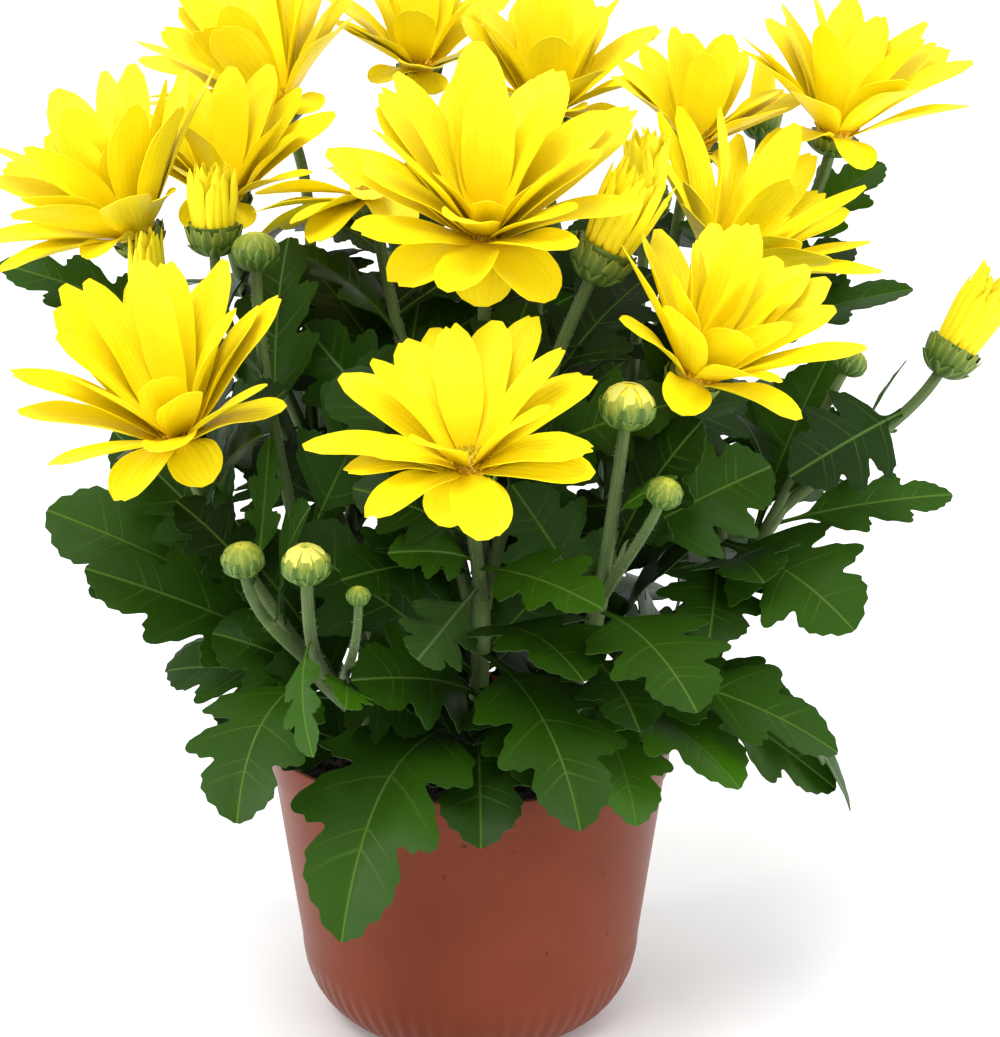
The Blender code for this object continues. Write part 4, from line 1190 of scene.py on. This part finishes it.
class OBJECT_OT_chrysanthemum_soil(bpy.types.Operator):
    """Fills the pot with crumbly soil"""

    bl_idname = "object.chrysanthemum_soil"
    bl_label = "Soil"

    def execute(self, context):
        settings = context.scene.chrysanthemum_soil

        def top(radius):
            return SOIL_TOP - (SOIL_TOP - settings.edge) * (radius / SOIL_RADIUS) ** 2

        rings = [SOIL_RADIUS * step / SOIL_STEPS for step in range(SOIL_STEPS + 1)]
        profile = [(radius, top(radius)) for radius in rings]
        profile += [(radius * MM, height * MM) for radius, height in SOIL_WALL]
        soil = spun("soil_bed", profile, 120)
        for point in soil.data.vertices:
            if point.co.z > settings.edge - 0.1 * MM:
                rough = noise.noise(point.co * 260.0) + 0.5 * noise.noise(point.co * 700.0)
                inner = min(1.0, (SOIL_RADIUS - math.hypot(point.co.x, point.co.y)) / (2 * MM))
                point.co.z += 1.1 * MM * rough * inner - 0.6 * MM
        soil.data.shade_smooth()
        look = soil_look(settings)
        soil.data.materials.append(look)
        ride_as(soil, "soil")
        to_object_mode()
        bpy.ops.mesh.primitive_ico_sphere_add(subdivisions=1, radius=1.0)
        blank = Blank(context.active_object)
        chance = random.Random("crumbs")
        crumbs = Sheaf()
        for _ in range(settings.crumbs):
            radius = (SOIL_RADIUS - 2.5 * MM) * math.sqrt(chance.random())
            place = polar(radius, chance.uniform(0.0, 2.0 * math.pi), top(radius) - 0.4 * MM)
            size = settings.crumb * (0.25 + 0.75 * chance.random() ** 2)
            scale = np.array([size * chance.uniform(0.6, 1.0) for _ in range(3)])
            points = blank.points * scale * np.array([[chance.uniform(0.75, 1.1)] for _ in blank.points])
            crumbs.add(blank, points + place, tone=chance.random())
        ride_as(crumbs.piece("soil_crumbs", [look], 30.0), "soil")
        return {"FINISHED"}


def ring_frames(points):
    """Each point along a route, with two directions square to the route that turn as little as can be."""
    frames = []
    side = None
    for index, point in enumerate(points):
        ahead = points[min(index + 1, len(points) - 1)] - points[max(index - 1, 0)]
        ahead.normalize()
        if side is None:
            side = ahead.orthogonal()
        side = (side - ahead * side.dot(ahead)).normalized()
        frames.append((point, side.copy(), ahead.cross(side)))
    return frames


def along_route(blank, points, rings, radii, ribs=6, rib=0.05):
    """BLANK, a bar, bent along a route of RINGS + 1 points, with low ribs along it."""
    frames = ring_frames(points)
    middles = np.array([frame[0] for frame in frames])
    sides = np.array([frame[1] for frame in frames])
    others = np.array([frame[2] for frame in frames])
    share = blank.points[:, 2]
    row = np.rint(share * rings).astype(int)
    turn = np.arctan2(blank.points[:, 1], blank.points[:, 0])
    radius = (radii[0] + (radii[1] - radii[0]) * share) * (1.0 + rib * np.cos(ribs * turn))
    out = sides[row] * np.cos(turn)[:, None] + others[row] * np.sin(turn)[:, None]
    return middles[row] + out * radius[:, None]


def turned_bar(blank, matrix, profile, ribs=0, rib=0.0):
    """BLANK, a bar, with its radius and height taken from PROFILE, (radius, height) from its foot up."""
    table = np.array(profile)
    rows = np.linspace(0.0, 1.0, len(table))
    share = blank.points[:, 2]
    radius = np.interp(share, rows, table[:, 0])
    height = np.interp(share, rows, table[:, 1])
    turn = np.arctan2(blank.points[:, 1], blank.points[:, 0])
    return round_axis(matrix, radius * (1.0 + rib * np.cos(ribs * turn)), turn, height)


def bract_surface(matrix, profile, turn, width, last, flare, stand):
    """A surface that lies on a turned PROFILE at azimuth TURN, up to the share LAST of it, and flares."""
    table = np.array(profile)
    rows = np.linspace(0.0, 1.0, len(table))

    def surface(along, across):
        share = np.minimum(0.08 + (last - 0.08) * along, 1.0)
        radius = np.interp(share, rows, table[:, 0])
        height = np.interp(share, rows, table[:, 1])
        wide = np.sin(math.pi * (0.12 + 0.80 * along)) ** 0.7
        crown = 1.0 - 0.35 * across**2
        clear = stand * (0.4 + 0.6 * along) * crown + flare * along**3
        sweep = across * wide * width / np.maximum(radius + clear, 1.2 * MM)
        return round_axis(matrix, radius + clear, turn + sweep, height + 0.3 * flare * along**2)

    return surface


def cup_profile(radius, depth):
    """From the stalk up: a shallow bowl, as (radius, height)."""
    points = [(0.2 * radius, 0.0)]
    for step in range(1, 13):
        turn = 0.5 * math.pi * step / 12
        points.append((radius * math.sin(turn) ** 0.75, depth * (1.0 - math.cos(turn))))
    return points


def bud_profile(radius):
    """From the stalk up: a flattened ball, as (radius, height)."""
    points = []
    for step in range(15):
        turn = math.pi * step / 14
        points.append((radius * max(0.06, math.sin(turn)), 0.9 * radius * (1.0 - math.cos(turn))))
    return points


class Maker:
    """The stems' routes and the blanks that every plant piece is copied from."""

    RINGS = 56

    def __init__(self):
        self.coarse, self.fine = stem_routes(self.RINGS)
        self.stem = tube_blank(18, self.RINGS)
        self.bowl = tube_blank(20, 14)
        self.petal = blade_blank(8, 14)
        self.strap = blade_blank(6, 12)
        self.leaf = blade_blank(8, len(ROWS) - 1)
        self.inner_leaf = blade_blank(4, len(ROWS) - 1)
        self.bract = blade_blank(4, 7)
        self.floret = floret_blank()
        to_object_mode()
        bpy.ops.mesh.primitive_cone_add(vertices=3, radius1=1.0, radius2=0.0, depth=1.0, location=(0, 0, 0.5))
        bpy.ops.object.transform_apply(location=True)
        self.hair = Blank(bpy.context.active_object)

    def stand(self, name):
        """The matrix of the head at the end of a stem."""
        return Matrix.Translation(self.coarse[name][-1]) @ turned_to(lean(*STEMS[name][3]))


def under_of(blank):
    """1 on the lower face of a blade, 0 on its upper one."""
    return (blank.points[:, 2] < 0.0).astype(float)


def blade_thickness(most, least):
    def thickness(along, across):
        return least + (most - least) * (1.0 - across**2) * (1.0 - along**4)

    return thickness


def add_bracts(sheaf, maker, matrix, profile, rows, chance):
    """Rows of overlapping bracts on a turned profile: count, width, reach, flare, stand off, paleness."""
    begin = chance.uniform(0.0, 6.0)
    for row, (count, width, last, flare, stand, pale) in enumerate(rows):
        for index in range(count):
            turn = begin + 2.0 * math.pi * (index + 0.5 * row + chance.uniform(-0.1, 0.1)) / count
            broad = width * chance.uniform(0.9, 1.1)
            reach = last * chance.uniform(0.94, 1.04)
            flared = flare * chance.uniform(0.5, 1.5)
            surface = bract_surface(matrix, profile, turn, broad, reach, flared, stand)
            points = on_surface(maker.bract, surface, blade_thickness(0.55 * MM, 0.2 * MM))
            sheaf.add(maker.bract, points, BRACT, tone=pale, under=under_of(maker.bract))


def add_hairs(sheaf, maker, points, radii, count, size, chance):
    """Short hairs that stand off a stem."""
    frames = ring_frames(points)
    for _ in range(count):
        share = chance.uniform(0.04, 0.98)
        place = share * (len(frames) - 1)
        index = min(int(place), len(frames) - 2)
        middle = frames[index][0].lerp(frames[index + 1][0], place - index)
        turn = chance.uniform(0.0, 2.0 * math.pi)
        out = frames[index][1] * math.cos(turn) + frames[index][2] * math.sin(turn)
        radius = radii[0] + (radii[1] - radii[0]) * share
        ahead = (frames[index + 1][0] - frames[index][0]).normalized()
        way = (out + ahead * chance.uniform(-0.3, 0.7)).normalized()
        matrix = Matrix.Translation(middle + out * (0.96 * radius)) @ turned_to(way)
        points = maker.hair.points * (HAIR_RADIUS, HAIR_RADIUS, size * chance.uniform(0.5, 1.3))
        sheaf.add(maker.hair, moved(matrix, points), HAIR, chance.random())


def grown_leaf(plan, routes, chance):
    """The fine leaf that stands where the CAD model has it, or None where the CAD model left it out."""
    stem, share, tip, width, bow, roll = plan
    base, _ = on_route(routes[stem], share)
    node = "leafy_stem_" + STEMS[stem][0]

    def choices():
        for azimuth, lift, turn, size in leaf_bends():
            end = bent_tip(base, mm(*tip), azimuth, lift, size)
            wanted = (base, end, width * MM * size, bow * MM * size, roll + turn)
            yield wanted, Leaf(*wanted).corners()

    found = closest(node, choices(), 0.55 * MM)
    return Leaf(*found, chance) if found else None


def free_leaf(stem, base, tip, width, bow, roll, chance, tries):
    """A leaf that only the scene has, bent up to TRIES ways until it is clear of all else, or None."""
    node = "leafy_stem_" + STEMS[stem][0]
    bends = [bend for bend in leaf_bends() if bend[2] == 0][:tries]
    for azimuth, lift, _, size in bends:
        end = bent_tip(base, tip, azimuth, lift, size)
        leaf = Leaf(base, end, width * MM * size, bow * MM * size, roll, chance)
        if ROOM.free(node, leaf.surface, LEAF_AMONG):
            ROOM.add(node, leaf.surface, LEAF_AMONG)
            return leaf
    return None


def filling_leaves(count, routes, chance):
    """Dark leaves at seeded places between the stems, with the stem and the tone of each; the dark tone is
    painted shade.
    """
    places = random.Random("filling")
    names = [name for name in STEMS if name not in BUDS]
    placed = 0
    for _ in range(INNER_TRIES * count):
        stem = places.choice(names)
        base, _ = on_route(routes[stem], places.uniform(*INNER_ROOT))
        way = lean(places.uniform(0.0, 360.0), places.uniform(*INNER_TILT))
        reach = places.uniform(*INNER_LENGTH)
        roll = places.uniform(*INNER_ROLL)
        # The low tone of an inner leaf is painted shade
        tone = places.uniform(*INNER_SHADE_TONE)
        tip = base + way * (reach * MM)
        low = INNER_FRONT_LOW if tip.y < -20 * MM else INNER_BACK_LOW
        wide = math.hypot(tip.x, tip.y + 10 * MM) > INNER_RADIUS
        if wide or base.z < INNER_LOW or not low < tip.z < INNER_HIGH:
            continue
        leaf = free_leaf(stem, base, tip, INNER_SLIM * reach, INNER_BOW, roll, chance, 9)
        if leaf:
            yield stem, tone, leaf
            placed += 1
        if placed == count:
            return


class OBJECT_OT_chrysanthemum_foliage(bpy.types.Operator):
    """Grows the ribbed, hairy stems, the green bracts and buds and the cut leaves"""

    bl_idname = "object.chrysanthemum_foliage"
    bl_label = "Stems, buds and leaves"

    def execute(self, context):
        settings = context.scene.chrysanthemum_foliage
        maker = Maker()
        coarse, fine = maker.coarse, maker.fine
        bloom = context.scene.chrysanthemum_bloom
        looks = [stem_look(settings), bract_look(), hair_look()]
        looks.append(petal_look(bloom, "bud petal", bloom.bud))
        leaf = leaf_look(settings)
        stems = {}
        leaves = {}
        for name, (node, _, _, _, radii) in STEMS.items():
            chance = random.Random("stem " + name)
            sheaf = stems.setdefault(node, Sheaf())
            radii = [radius * MM * STEM_SLACK for radius in radii]
            sheaf.add(maker.stem, along_route(maker.stem, fine[name], maker.RINGS, radii), STEM)
            run = sum((b - a).length for a, b in zip(fine[name], fine[name][1:]))
            add_hairs(sheaf, maker, fine[name], radii, int(run / HAIR_SPACING), settings.hair, chance)
            if name in BLOOMS or name in HEADS:
                self.add_cup(sheaf, maker, name, chance)
            elif name in BUDS:
                self.add_bud(sheaf, maker, name, chance)
        chance = random.Random("leaves")
        for *plan, tone in LEAVES:
            grown = grown_leaf(plan, coarse, chance)
            if grown:
                self.add_leaf(leaves, maker.leaf, settings, plan[0], tone, grown)
        for stem, share, tip, width, bow, roll, tone in STALK_LEAVES:
            base, _ = on_route(coarse[stem], share)
            grown = free_leaf(stem, base, mm(*tip), width, bow, roll, chance, 49)
            if grown:
                self.add_leaf(leaves, maker.leaf, settings, stem, tone, grown)
        for stem, tone, grown in filling_leaves(settings.filling, coarse, chance):
            self.add_leaf(leaves, maker.inner_leaf, settings, stem, tone, grown)
        for node, sheaf in stems.items():
            ride_as(sheaf.piece("stems_" + node, looks), "leafy_stem_" + node)
        for node, sheaf in leaves.items():
            ride_as(sheaf.piece("leaves_" + node, [leaf], 50.0), "leafy_stem_" + node)
        return {"FINISHED"}

    def add_cup(self, sheaf, maker, name, chance):
        stand = maker.stand(name)
        radius, depth = CUP_RADIUS, CUP_DEPTH
        if name in HEADS:
            radius, depth = HEADS[name][0] * MM, HEADS[name][1] * MM
        profile = cup_profile(0.93 * radius, 0.98 * depth)
        if name != "bloom_9":
            profile.append((0.96 * radius, 1.22 * depth))
        sheaf.add(maker.bowl, turned_bar(maker.bowl, stand, profile), BRACT, tone=0.1)
        rows = (
            (9, 2.1 * MM, 0.62, 0.5 * MM, 0.9 * MM, 0.0),
            (10, 2.3 * MM, 0.98, 0.4 * MM, 0.6 * MM, 0.15),
            (10, 2.2 * MM, 1.0, 0.9 * MM, 0.3 * MM, 0.3),
        )
        add_bracts(sheaf, maker, stand, profile, rows, chance)

    def add_bud(self, sheaf, maker, name, chance):
        stand = maker.stand(name)
        radius, yellow = BUDS[name]
        radius *= MM
        profile = bud_profile(0.86 * radius)
        ball = turned_bar(maker.bowl, stand, profile, 12, 0.02)
        sheaf.add(maker.bowl, ball, BUD if yellow > 0.9 else BRACT, tone=1.0)
        share = radius / (6.5 * MM)
        top = 0.78 - 0.10 * yellow
        rows = (
            (7, 1.9 * MM * share, 0.42, 0.1 * MM, 1.0 * MM * share, 0.0),
            (8, 2.3 * MM * share, 0.60, 0.1 * MM, 0.8 * MM * share, 0.05),
            (8, 2.4 * MM * share, top, 0.0, 0.55 * MM * share, 0.25 + 0.3 * yellow),
            (9, 2.0 * MM * share, top + 0.12, -0.1 * MM, 0.30 * MM * share, 0.4 + 0.5 * yellow),
        )
        add_bracts(sheaf, maker, stand, profile, rows, chance)
        if yellow > 0.7:
            for index in range(9):
                turn = 2.0 * math.pi * index / 9 + chance.uniform(-0.2, 0.2)
                flare = 1.2 * MM * (yellow - 0.5)
                surface = bract_surface(stand, profile, turn, 1.5 * MM, 0.97, flare, 0.15 * MM)
                points = on_surface(maker.bract, surface, blade_thickness(0.5 * MM, 0.25 * MM))
                sheaf.add(maker.bract, points, BUD, tone=0.1)

    def add_leaf(self, leaves, blank, settings, stem, tone, leaf):
        points = on_surface(blank, leaf.surface, blade_thickness(settings.thickness, 0.28 * MM))
        half = np.interp(0.5 * (blank.points[:, 1] + 1.0), ROWS, HALF)
        offset = np.abs(blank.points[:, 0]) * half * leaf.width / (10 * MM)
        sheaf = leaves.setdefault(STEMS[stem][0], Sheaf())
        sheaf.add(blank, points, tone=tone, under=under_of(blank), offset=offset)


def own_petals(name, stand, chance):
    """The fine petals that stand where the CAD model's do."""
    for row, turn, root, length, width, opening, bend, twist in petal_plan(name):
        def choices():
            for extra, azimuth, share in petal_bends():
                wanted = (stand, turn + azimuth, root, length * share, width, opening + extra, bend, twist)
                yield wanted, Petal(*wanted).corners(PETAL_CELLS[row])

        found = closest(name, choices(), 0.5 * MM)
        if found:
            yield Petal(*found, chance), 0.12 * row


def more_petals(name, stand, chance):
    """The petals between and inside the CAD ones, bent until they are clear of all else."""
    counts, (length, width), openings, bend = BLOOMS[name]
    between = 0.5 * (openings[0] + openings[1])
    facing = front_turn(name)
    rows = (
        (counts[0], openings[0] + 2, 0.96, 1.0, (3.6, 1.3), 0.0, FRONT_DROOP),
        (counts[1] - 2, between, 0.92, 1.0, (3.3, 2.6), 0.0, 0.0),
        (GOLDEN.get(name, 0), openings[1] - 8, 0.56, 0.66, (2.8, 3.8), 0.3, 0.0),
    )
    for count, opening, long, wide, root, tone, droop in rows:
        begin = chance.uniform(0.0, 6.28)
        for index in range(count):
            turn = begin + 2.0 * math.pi * (index + chance.uniform(-0.15, 0.15)) / count
            size = length * MM * long * chance.uniform(0.86, 1.04)
            broad = width * MM * wide * chance.uniform(0.85, 1.05)
            front = math.cos(turn - facing)
            hang = droop * max(0.0, front) ** 2
            size *= 1.0 - DROOP_SHORTENS * hang
            opened = math.radians(opening + FRONT_OPENING * front + hang + chance.uniform(-5, 5))
            bent = math.radians(bend + DROOP_BENDS * hang + chance.uniform(-6, 10))
            twist = math.radians(chance.uniform(-10, 10))
            place = (root[0] * MM, CUP_DEPTH + root[1] * MM)
            for extra, azimuth, share in petal_bends():
                petal = Petal(
                    stand, turn + azimuth, place, size * share, broad, opened + extra, bent, twist, chance
                )
                if ROOM.free(name, petal.surface, PETAL_AMONG):
                    ROOM.add(name, petal.surface, PETAL_AMONG)
                    yield petal, tone
                    break


class OBJECT_OT_chrysanthemum_blooms(bpy.types.Operator):
    """Opens the blooms: layered, furrowed petals round a disc of small florets"""

    bl_idname = "object.chrysanthemum_blooms"
    bl_label = "Open blooms"

    def execute(self, context):
        settings = context.scene.chrysanthemum_bloom
        maker = Maker()
        looks = [petal_look(settings), floret_look(settings)]
        for name in BLOOMS:
            chance = random.Random("fine " + name)
            stand = maker.stand(name)
            sheaf = Sheaf()
            petals = list(own_petals(name, stand, chance)) + list(more_petals(name, stand, chance))
            for petal, tone in petals:
                petal.channel = settings.channel
                points = on_surface(maker.petal, petal.surface, blade_thickness(settings.thickness, 0.2 * MM))
                sheaf.add(maker.petal, points, tone=max(0.0, tone + chance.uniform(-0.05, 0.12)))
            self.add_disc(sheaf, maker, stand, settings, chance)
            ride_as(sheaf.piece("petals_" + name, looks), name)
        return {"FINISHED"}

    def add_disc(self, sheaf, maker, stand, settings, chance):
        foot = CUP_DEPTH + 0.3 * MM
        profile = [(DISC_RADIUS, foot), (DISC_RADIUS, foot + 1.5 * MM)]
        for step in range(1, 9):
            turn = 0.5 * math.pi * step / 8
            out = max(0.1 * MM, DISC_RADIUS * math.cos(turn))
            profile.append((out, foot + 1.5 * MM + DISC_DOME * math.sin(turn)))
        sheaf.add(maker.bowl, turned_bar(maker.bowl, stand, profile), 1, tone=0.4)
        count = settings.florets
        for index in range(count):
            share = math.sqrt((index + 0.5) / count)
            fall = 0.5 * math.pi * share * 0.92
            rise = foot + 1.4 * MM + DISC_DOME * math.cos(fall)
            spot = Vector(polar(DISC_RADIUS * math.sin(fall), GOLDEN_ANGLE * index, rise))
            way = Vector((spot.x, spot.y, 6 * MM)).normalized()
            matrix = stand @ Matrix.Translation(spot) @ turned_to(way)
            tall = MM * (0.9 + 1.3 * share) * chance.uniform(0.8, 1.2)
            size = (0.95 * MM, 0.95 * MM, tall)
            sheaf.add(maker.floret, moved(matrix, maker.floret.points * size), 1, tone=share * share)


class OBJECT_OT_chrysanthemum_heads(bpy.types.Operator):
    """Stands the narrow petals of the half-open heads in their bracts"""

    bl_idname = "object.chrysanthemum_heads"
    bl_label = "Half-open heads"

    def execute(self, context):
        settings = context.scene.chrysanthemum_bloom
        maker = Maker()
        looks = [petal_look(settings, "quilled petal")]
        for name, (cup, depth, height, top, jag) in HEADS.items():
            chance = random.Random("fine " + name)
            stand = maker.stand(name)
            sheaf = Sheaf()
            for ring, (count, spread, tall) in enumerate(STRAP_RINGS):
                begin = chance.uniform(0.0, 6.28)
                for index in range(count):
                    turn = begin + 2.0 * math.pi * (index + chance.uniform(-0.15, 0.15)) / count
                    reach = height * tall - jag * chance.random() ** 1.5
                    surface = self.strap(stand, turn, cup, depth, height, top, spread, reach, chance)
                    points = on_surface(maker.strap, surface, blade_thickness(0.5 * MM, 0.3 * MM))
                    sheaf.add(maker.strap, points, tone=0.05 + 0.12 * ring + chance.uniform(0.0, 0.15))
            ride_as(sheaf.piece("petals_" + name, looks), name)
        return {"FINISHED"}

    def strap(self, stand, turn, cup, depth, height, top, spread, reach, chance):
        width = 0.5 * chance.uniform(2.8, 3.9) * MM * (0.62 + 0.38 * cup / 8.2)
        quill = chance.uniform(0.5, 0.9)
        sway = chance.uniform(-0.30, 0.30)
        hook = chance.uniform(-0.10, 0.16) * top * MM
        foot = (depth + 0.4) * MM
        radii = np.array([0.80 * cup, 0.5 * (top + 0.92 * cup), top]) * MM * spread

        def surface(along, across):
            tall = reach * MM * along
            share = np.clip(tall / (height * MM), 0.0, 1.0)
            radius = np.interp(share, (0.0, 0.45, 1.0), radii) - 0.35 * MM
            narrow = 0.55 + 0.45 * np.sin(math.pi * np.minimum(along / 0.8, 0.5))
            narrow = narrow * (1.0 - 0.55 * np.clip((along - 0.8) / 0.2, 0.0, 1.0) ** 1.6)
            side = across * width * narrow
            fold = quill * np.abs(across) ** 1.8 * width * narrow
            out = radius - fold - hook * np.clip((along - 0.55) / 0.45, 0.0, 1.0) ** 2
            rise = foot + tall - 0.12 * reach * MM * along**3 * across**2
            return round_axis(stand, out, turn + sway * along, rise, side)

        return surface


class OBJECT_OT_chrysanthemum_stage(bpy.types.Operator):
    """Sets the floor, the soft lights and the camera"""

    bl_idname = "object.chrysanthemum_stage"
    bl_label = "Stage"

    def execute(self, context):
        settings = context.scene.chrysanthemum_stage
        to_object_mode()
        bpy.ops.mesh.primitive_plane_add(size=24.0, location=(0.0, 8.0, -0.0003))
        floor = context.active_object
        floor.name = "floor"
        look = Look("pale floor", 0.9)
        cloud = look.noise(look.place(), 3.0, 2.0)
        base = tuple(settings.floor)
        dull = tuple(0.99 * part for part in base)
        look.set("Base Color", look.over(base, dull, cloud, 0.3, 0.7))
        floor.data.materials.append(look.material)
        bpy.ops.object.light_add(type="SUN", location=KEY_FROM)
        sun = context.active_object
        sun.name = "key"
        sun.data.energy = settings.key
        sun.data.angle = math.radians(30)
        sun.rotation_euler = (-KEY_FROM).to_track_quat("-Z", "Y").to_euler()
        for name, place in STRIPS:
            bpy.ops.object.light_add(type="AREA", location=place)
            lamp = context.active_object
            lamp.name = name
            lamp.data.energy = settings.strip
            lamp.data.shape = "RECTANGLE"
            lamp.data.size, lamp.data.size_y = STRIP_SIZE
            lamp.rotation_euler = (PLANT_MIDDLE - Vector(place)).to_track_quat("-Z", "Y").to_euler()
        world = bpy.data.worlds.new("soft room")
        world.use_nodes = True
        back = world.node_tree.nodes["Background"]
        back.inputs["Color"].default_value = (1.0, 1.0, 1.0, 1.0)
        back.inputs["Strength"].default_value = settings.fill
        context.scene.world = world
        place = (CAMERA_SIDE, -settings.distance, CAMERA_HEIGHT)
        bpy.ops.object.camera_add(location=place, rotation=(math.radians(CAMERA_TILT), 0.0, 0.0))
        camera = context.active_object
        camera.name = "photo_camera"
        camera.data.sensor_width = SENSOR
        camera.data.lens = SENSOR * FOCAL_PIXELS / PHOTO_PIXELS
        camera.data.clip_start = 0.01
        context.scene.camera = camera
        context.scene.view_settings.view_transform = "Standard"
        return {"FINISHED"}


class VIEW3D_PT_chrysanthemum(bpy.types.Panel):
    """The pieces of the pot chrysanthemum"""

    bl_label = "Pot chrysanthemum"
    bl_space_type = "VIEW_3D"
    bl_region_type = "UI"
    bl_category = "Chrysanthemum"

    def draw(self, context):
        layout = self.layout
        for part, idname in PIECES:
            box = layout.box()
            box.operator(idname)
            settings = getattr(context.scene, part)
            for name in settings.bl_rna.properties.keys():
                if name not in ("rna_type", "name"):
                    box.prop(settings, name)


PIECES = (
    ("chrysanthemum_stage", "object.chrysanthemum_stage"),
    ("chrysanthemum_pot", "object.chrysanthemum_pot"),
    ("chrysanthemum_soil", "object.chrysanthemum_soil"),
    ("chrysanthemum_foliage", "object.chrysanthemum_foliage"),
    ("chrysanthemum_bloom", "object.chrysanthemum_blooms"),
    ("chrysanthemum_bloom", "object.chrysanthemum_heads"),
)

SETTINGS = {
    "chrysanthemum_pot": ChrysanthemumPotSettings,
    "chrysanthemum_soil": ChrysanthemumSoilSettings,
    "chrysanthemum_foliage": ChrysanthemumFoliageSettings,
    "chrysanthemum_bloom": ChrysanthemumBloomSettings,
    "chrysanthemum_stage": ChrysanthemumStageSettings,
}

CLASSES = (
    *SETTINGS.values(),
    OBJECT_OT_chrysanthemum_stage,
    OBJECT_OT_chrysanthemum_pot,
    OBJECT_OT_chrysanthemum_soil,
    OBJECT_OT_chrysanthemum_foliage,
    OBJECT_OT_chrysanthemum_blooms,
    OBJECT_OT_chrysanthemum_heads,
    VIEW3D_PT_chrysanthemum,
)


def register():
    for kind in CLASSES:
        bpy.utils.register_class(kind)
    for name, kind in SETTINGS.items():
        setattr(bpy.types.Scene, name, PointerProperty(type=kind))


def unregister():
    for name in SETTINGS:
        delattr(bpy.types.Scene, name)
    for kind in reversed(CLASSES):
        bpy.utils.unregister_class(kind)


def main():
    register()
    bpy.ops.object.chrysanthemum_stage()
    bpy.ops.object.chrysanthemum_pot()
    bpy.ops.object.chrysanthemum_soil()
    bpy.ops.object.chrysanthemum_foliage()
    bpy.ops.object.chrysanthemum_blooms()
    bpy.ops.object.chrysanthemum_heads()


if __name__ == "__main__":
    main()
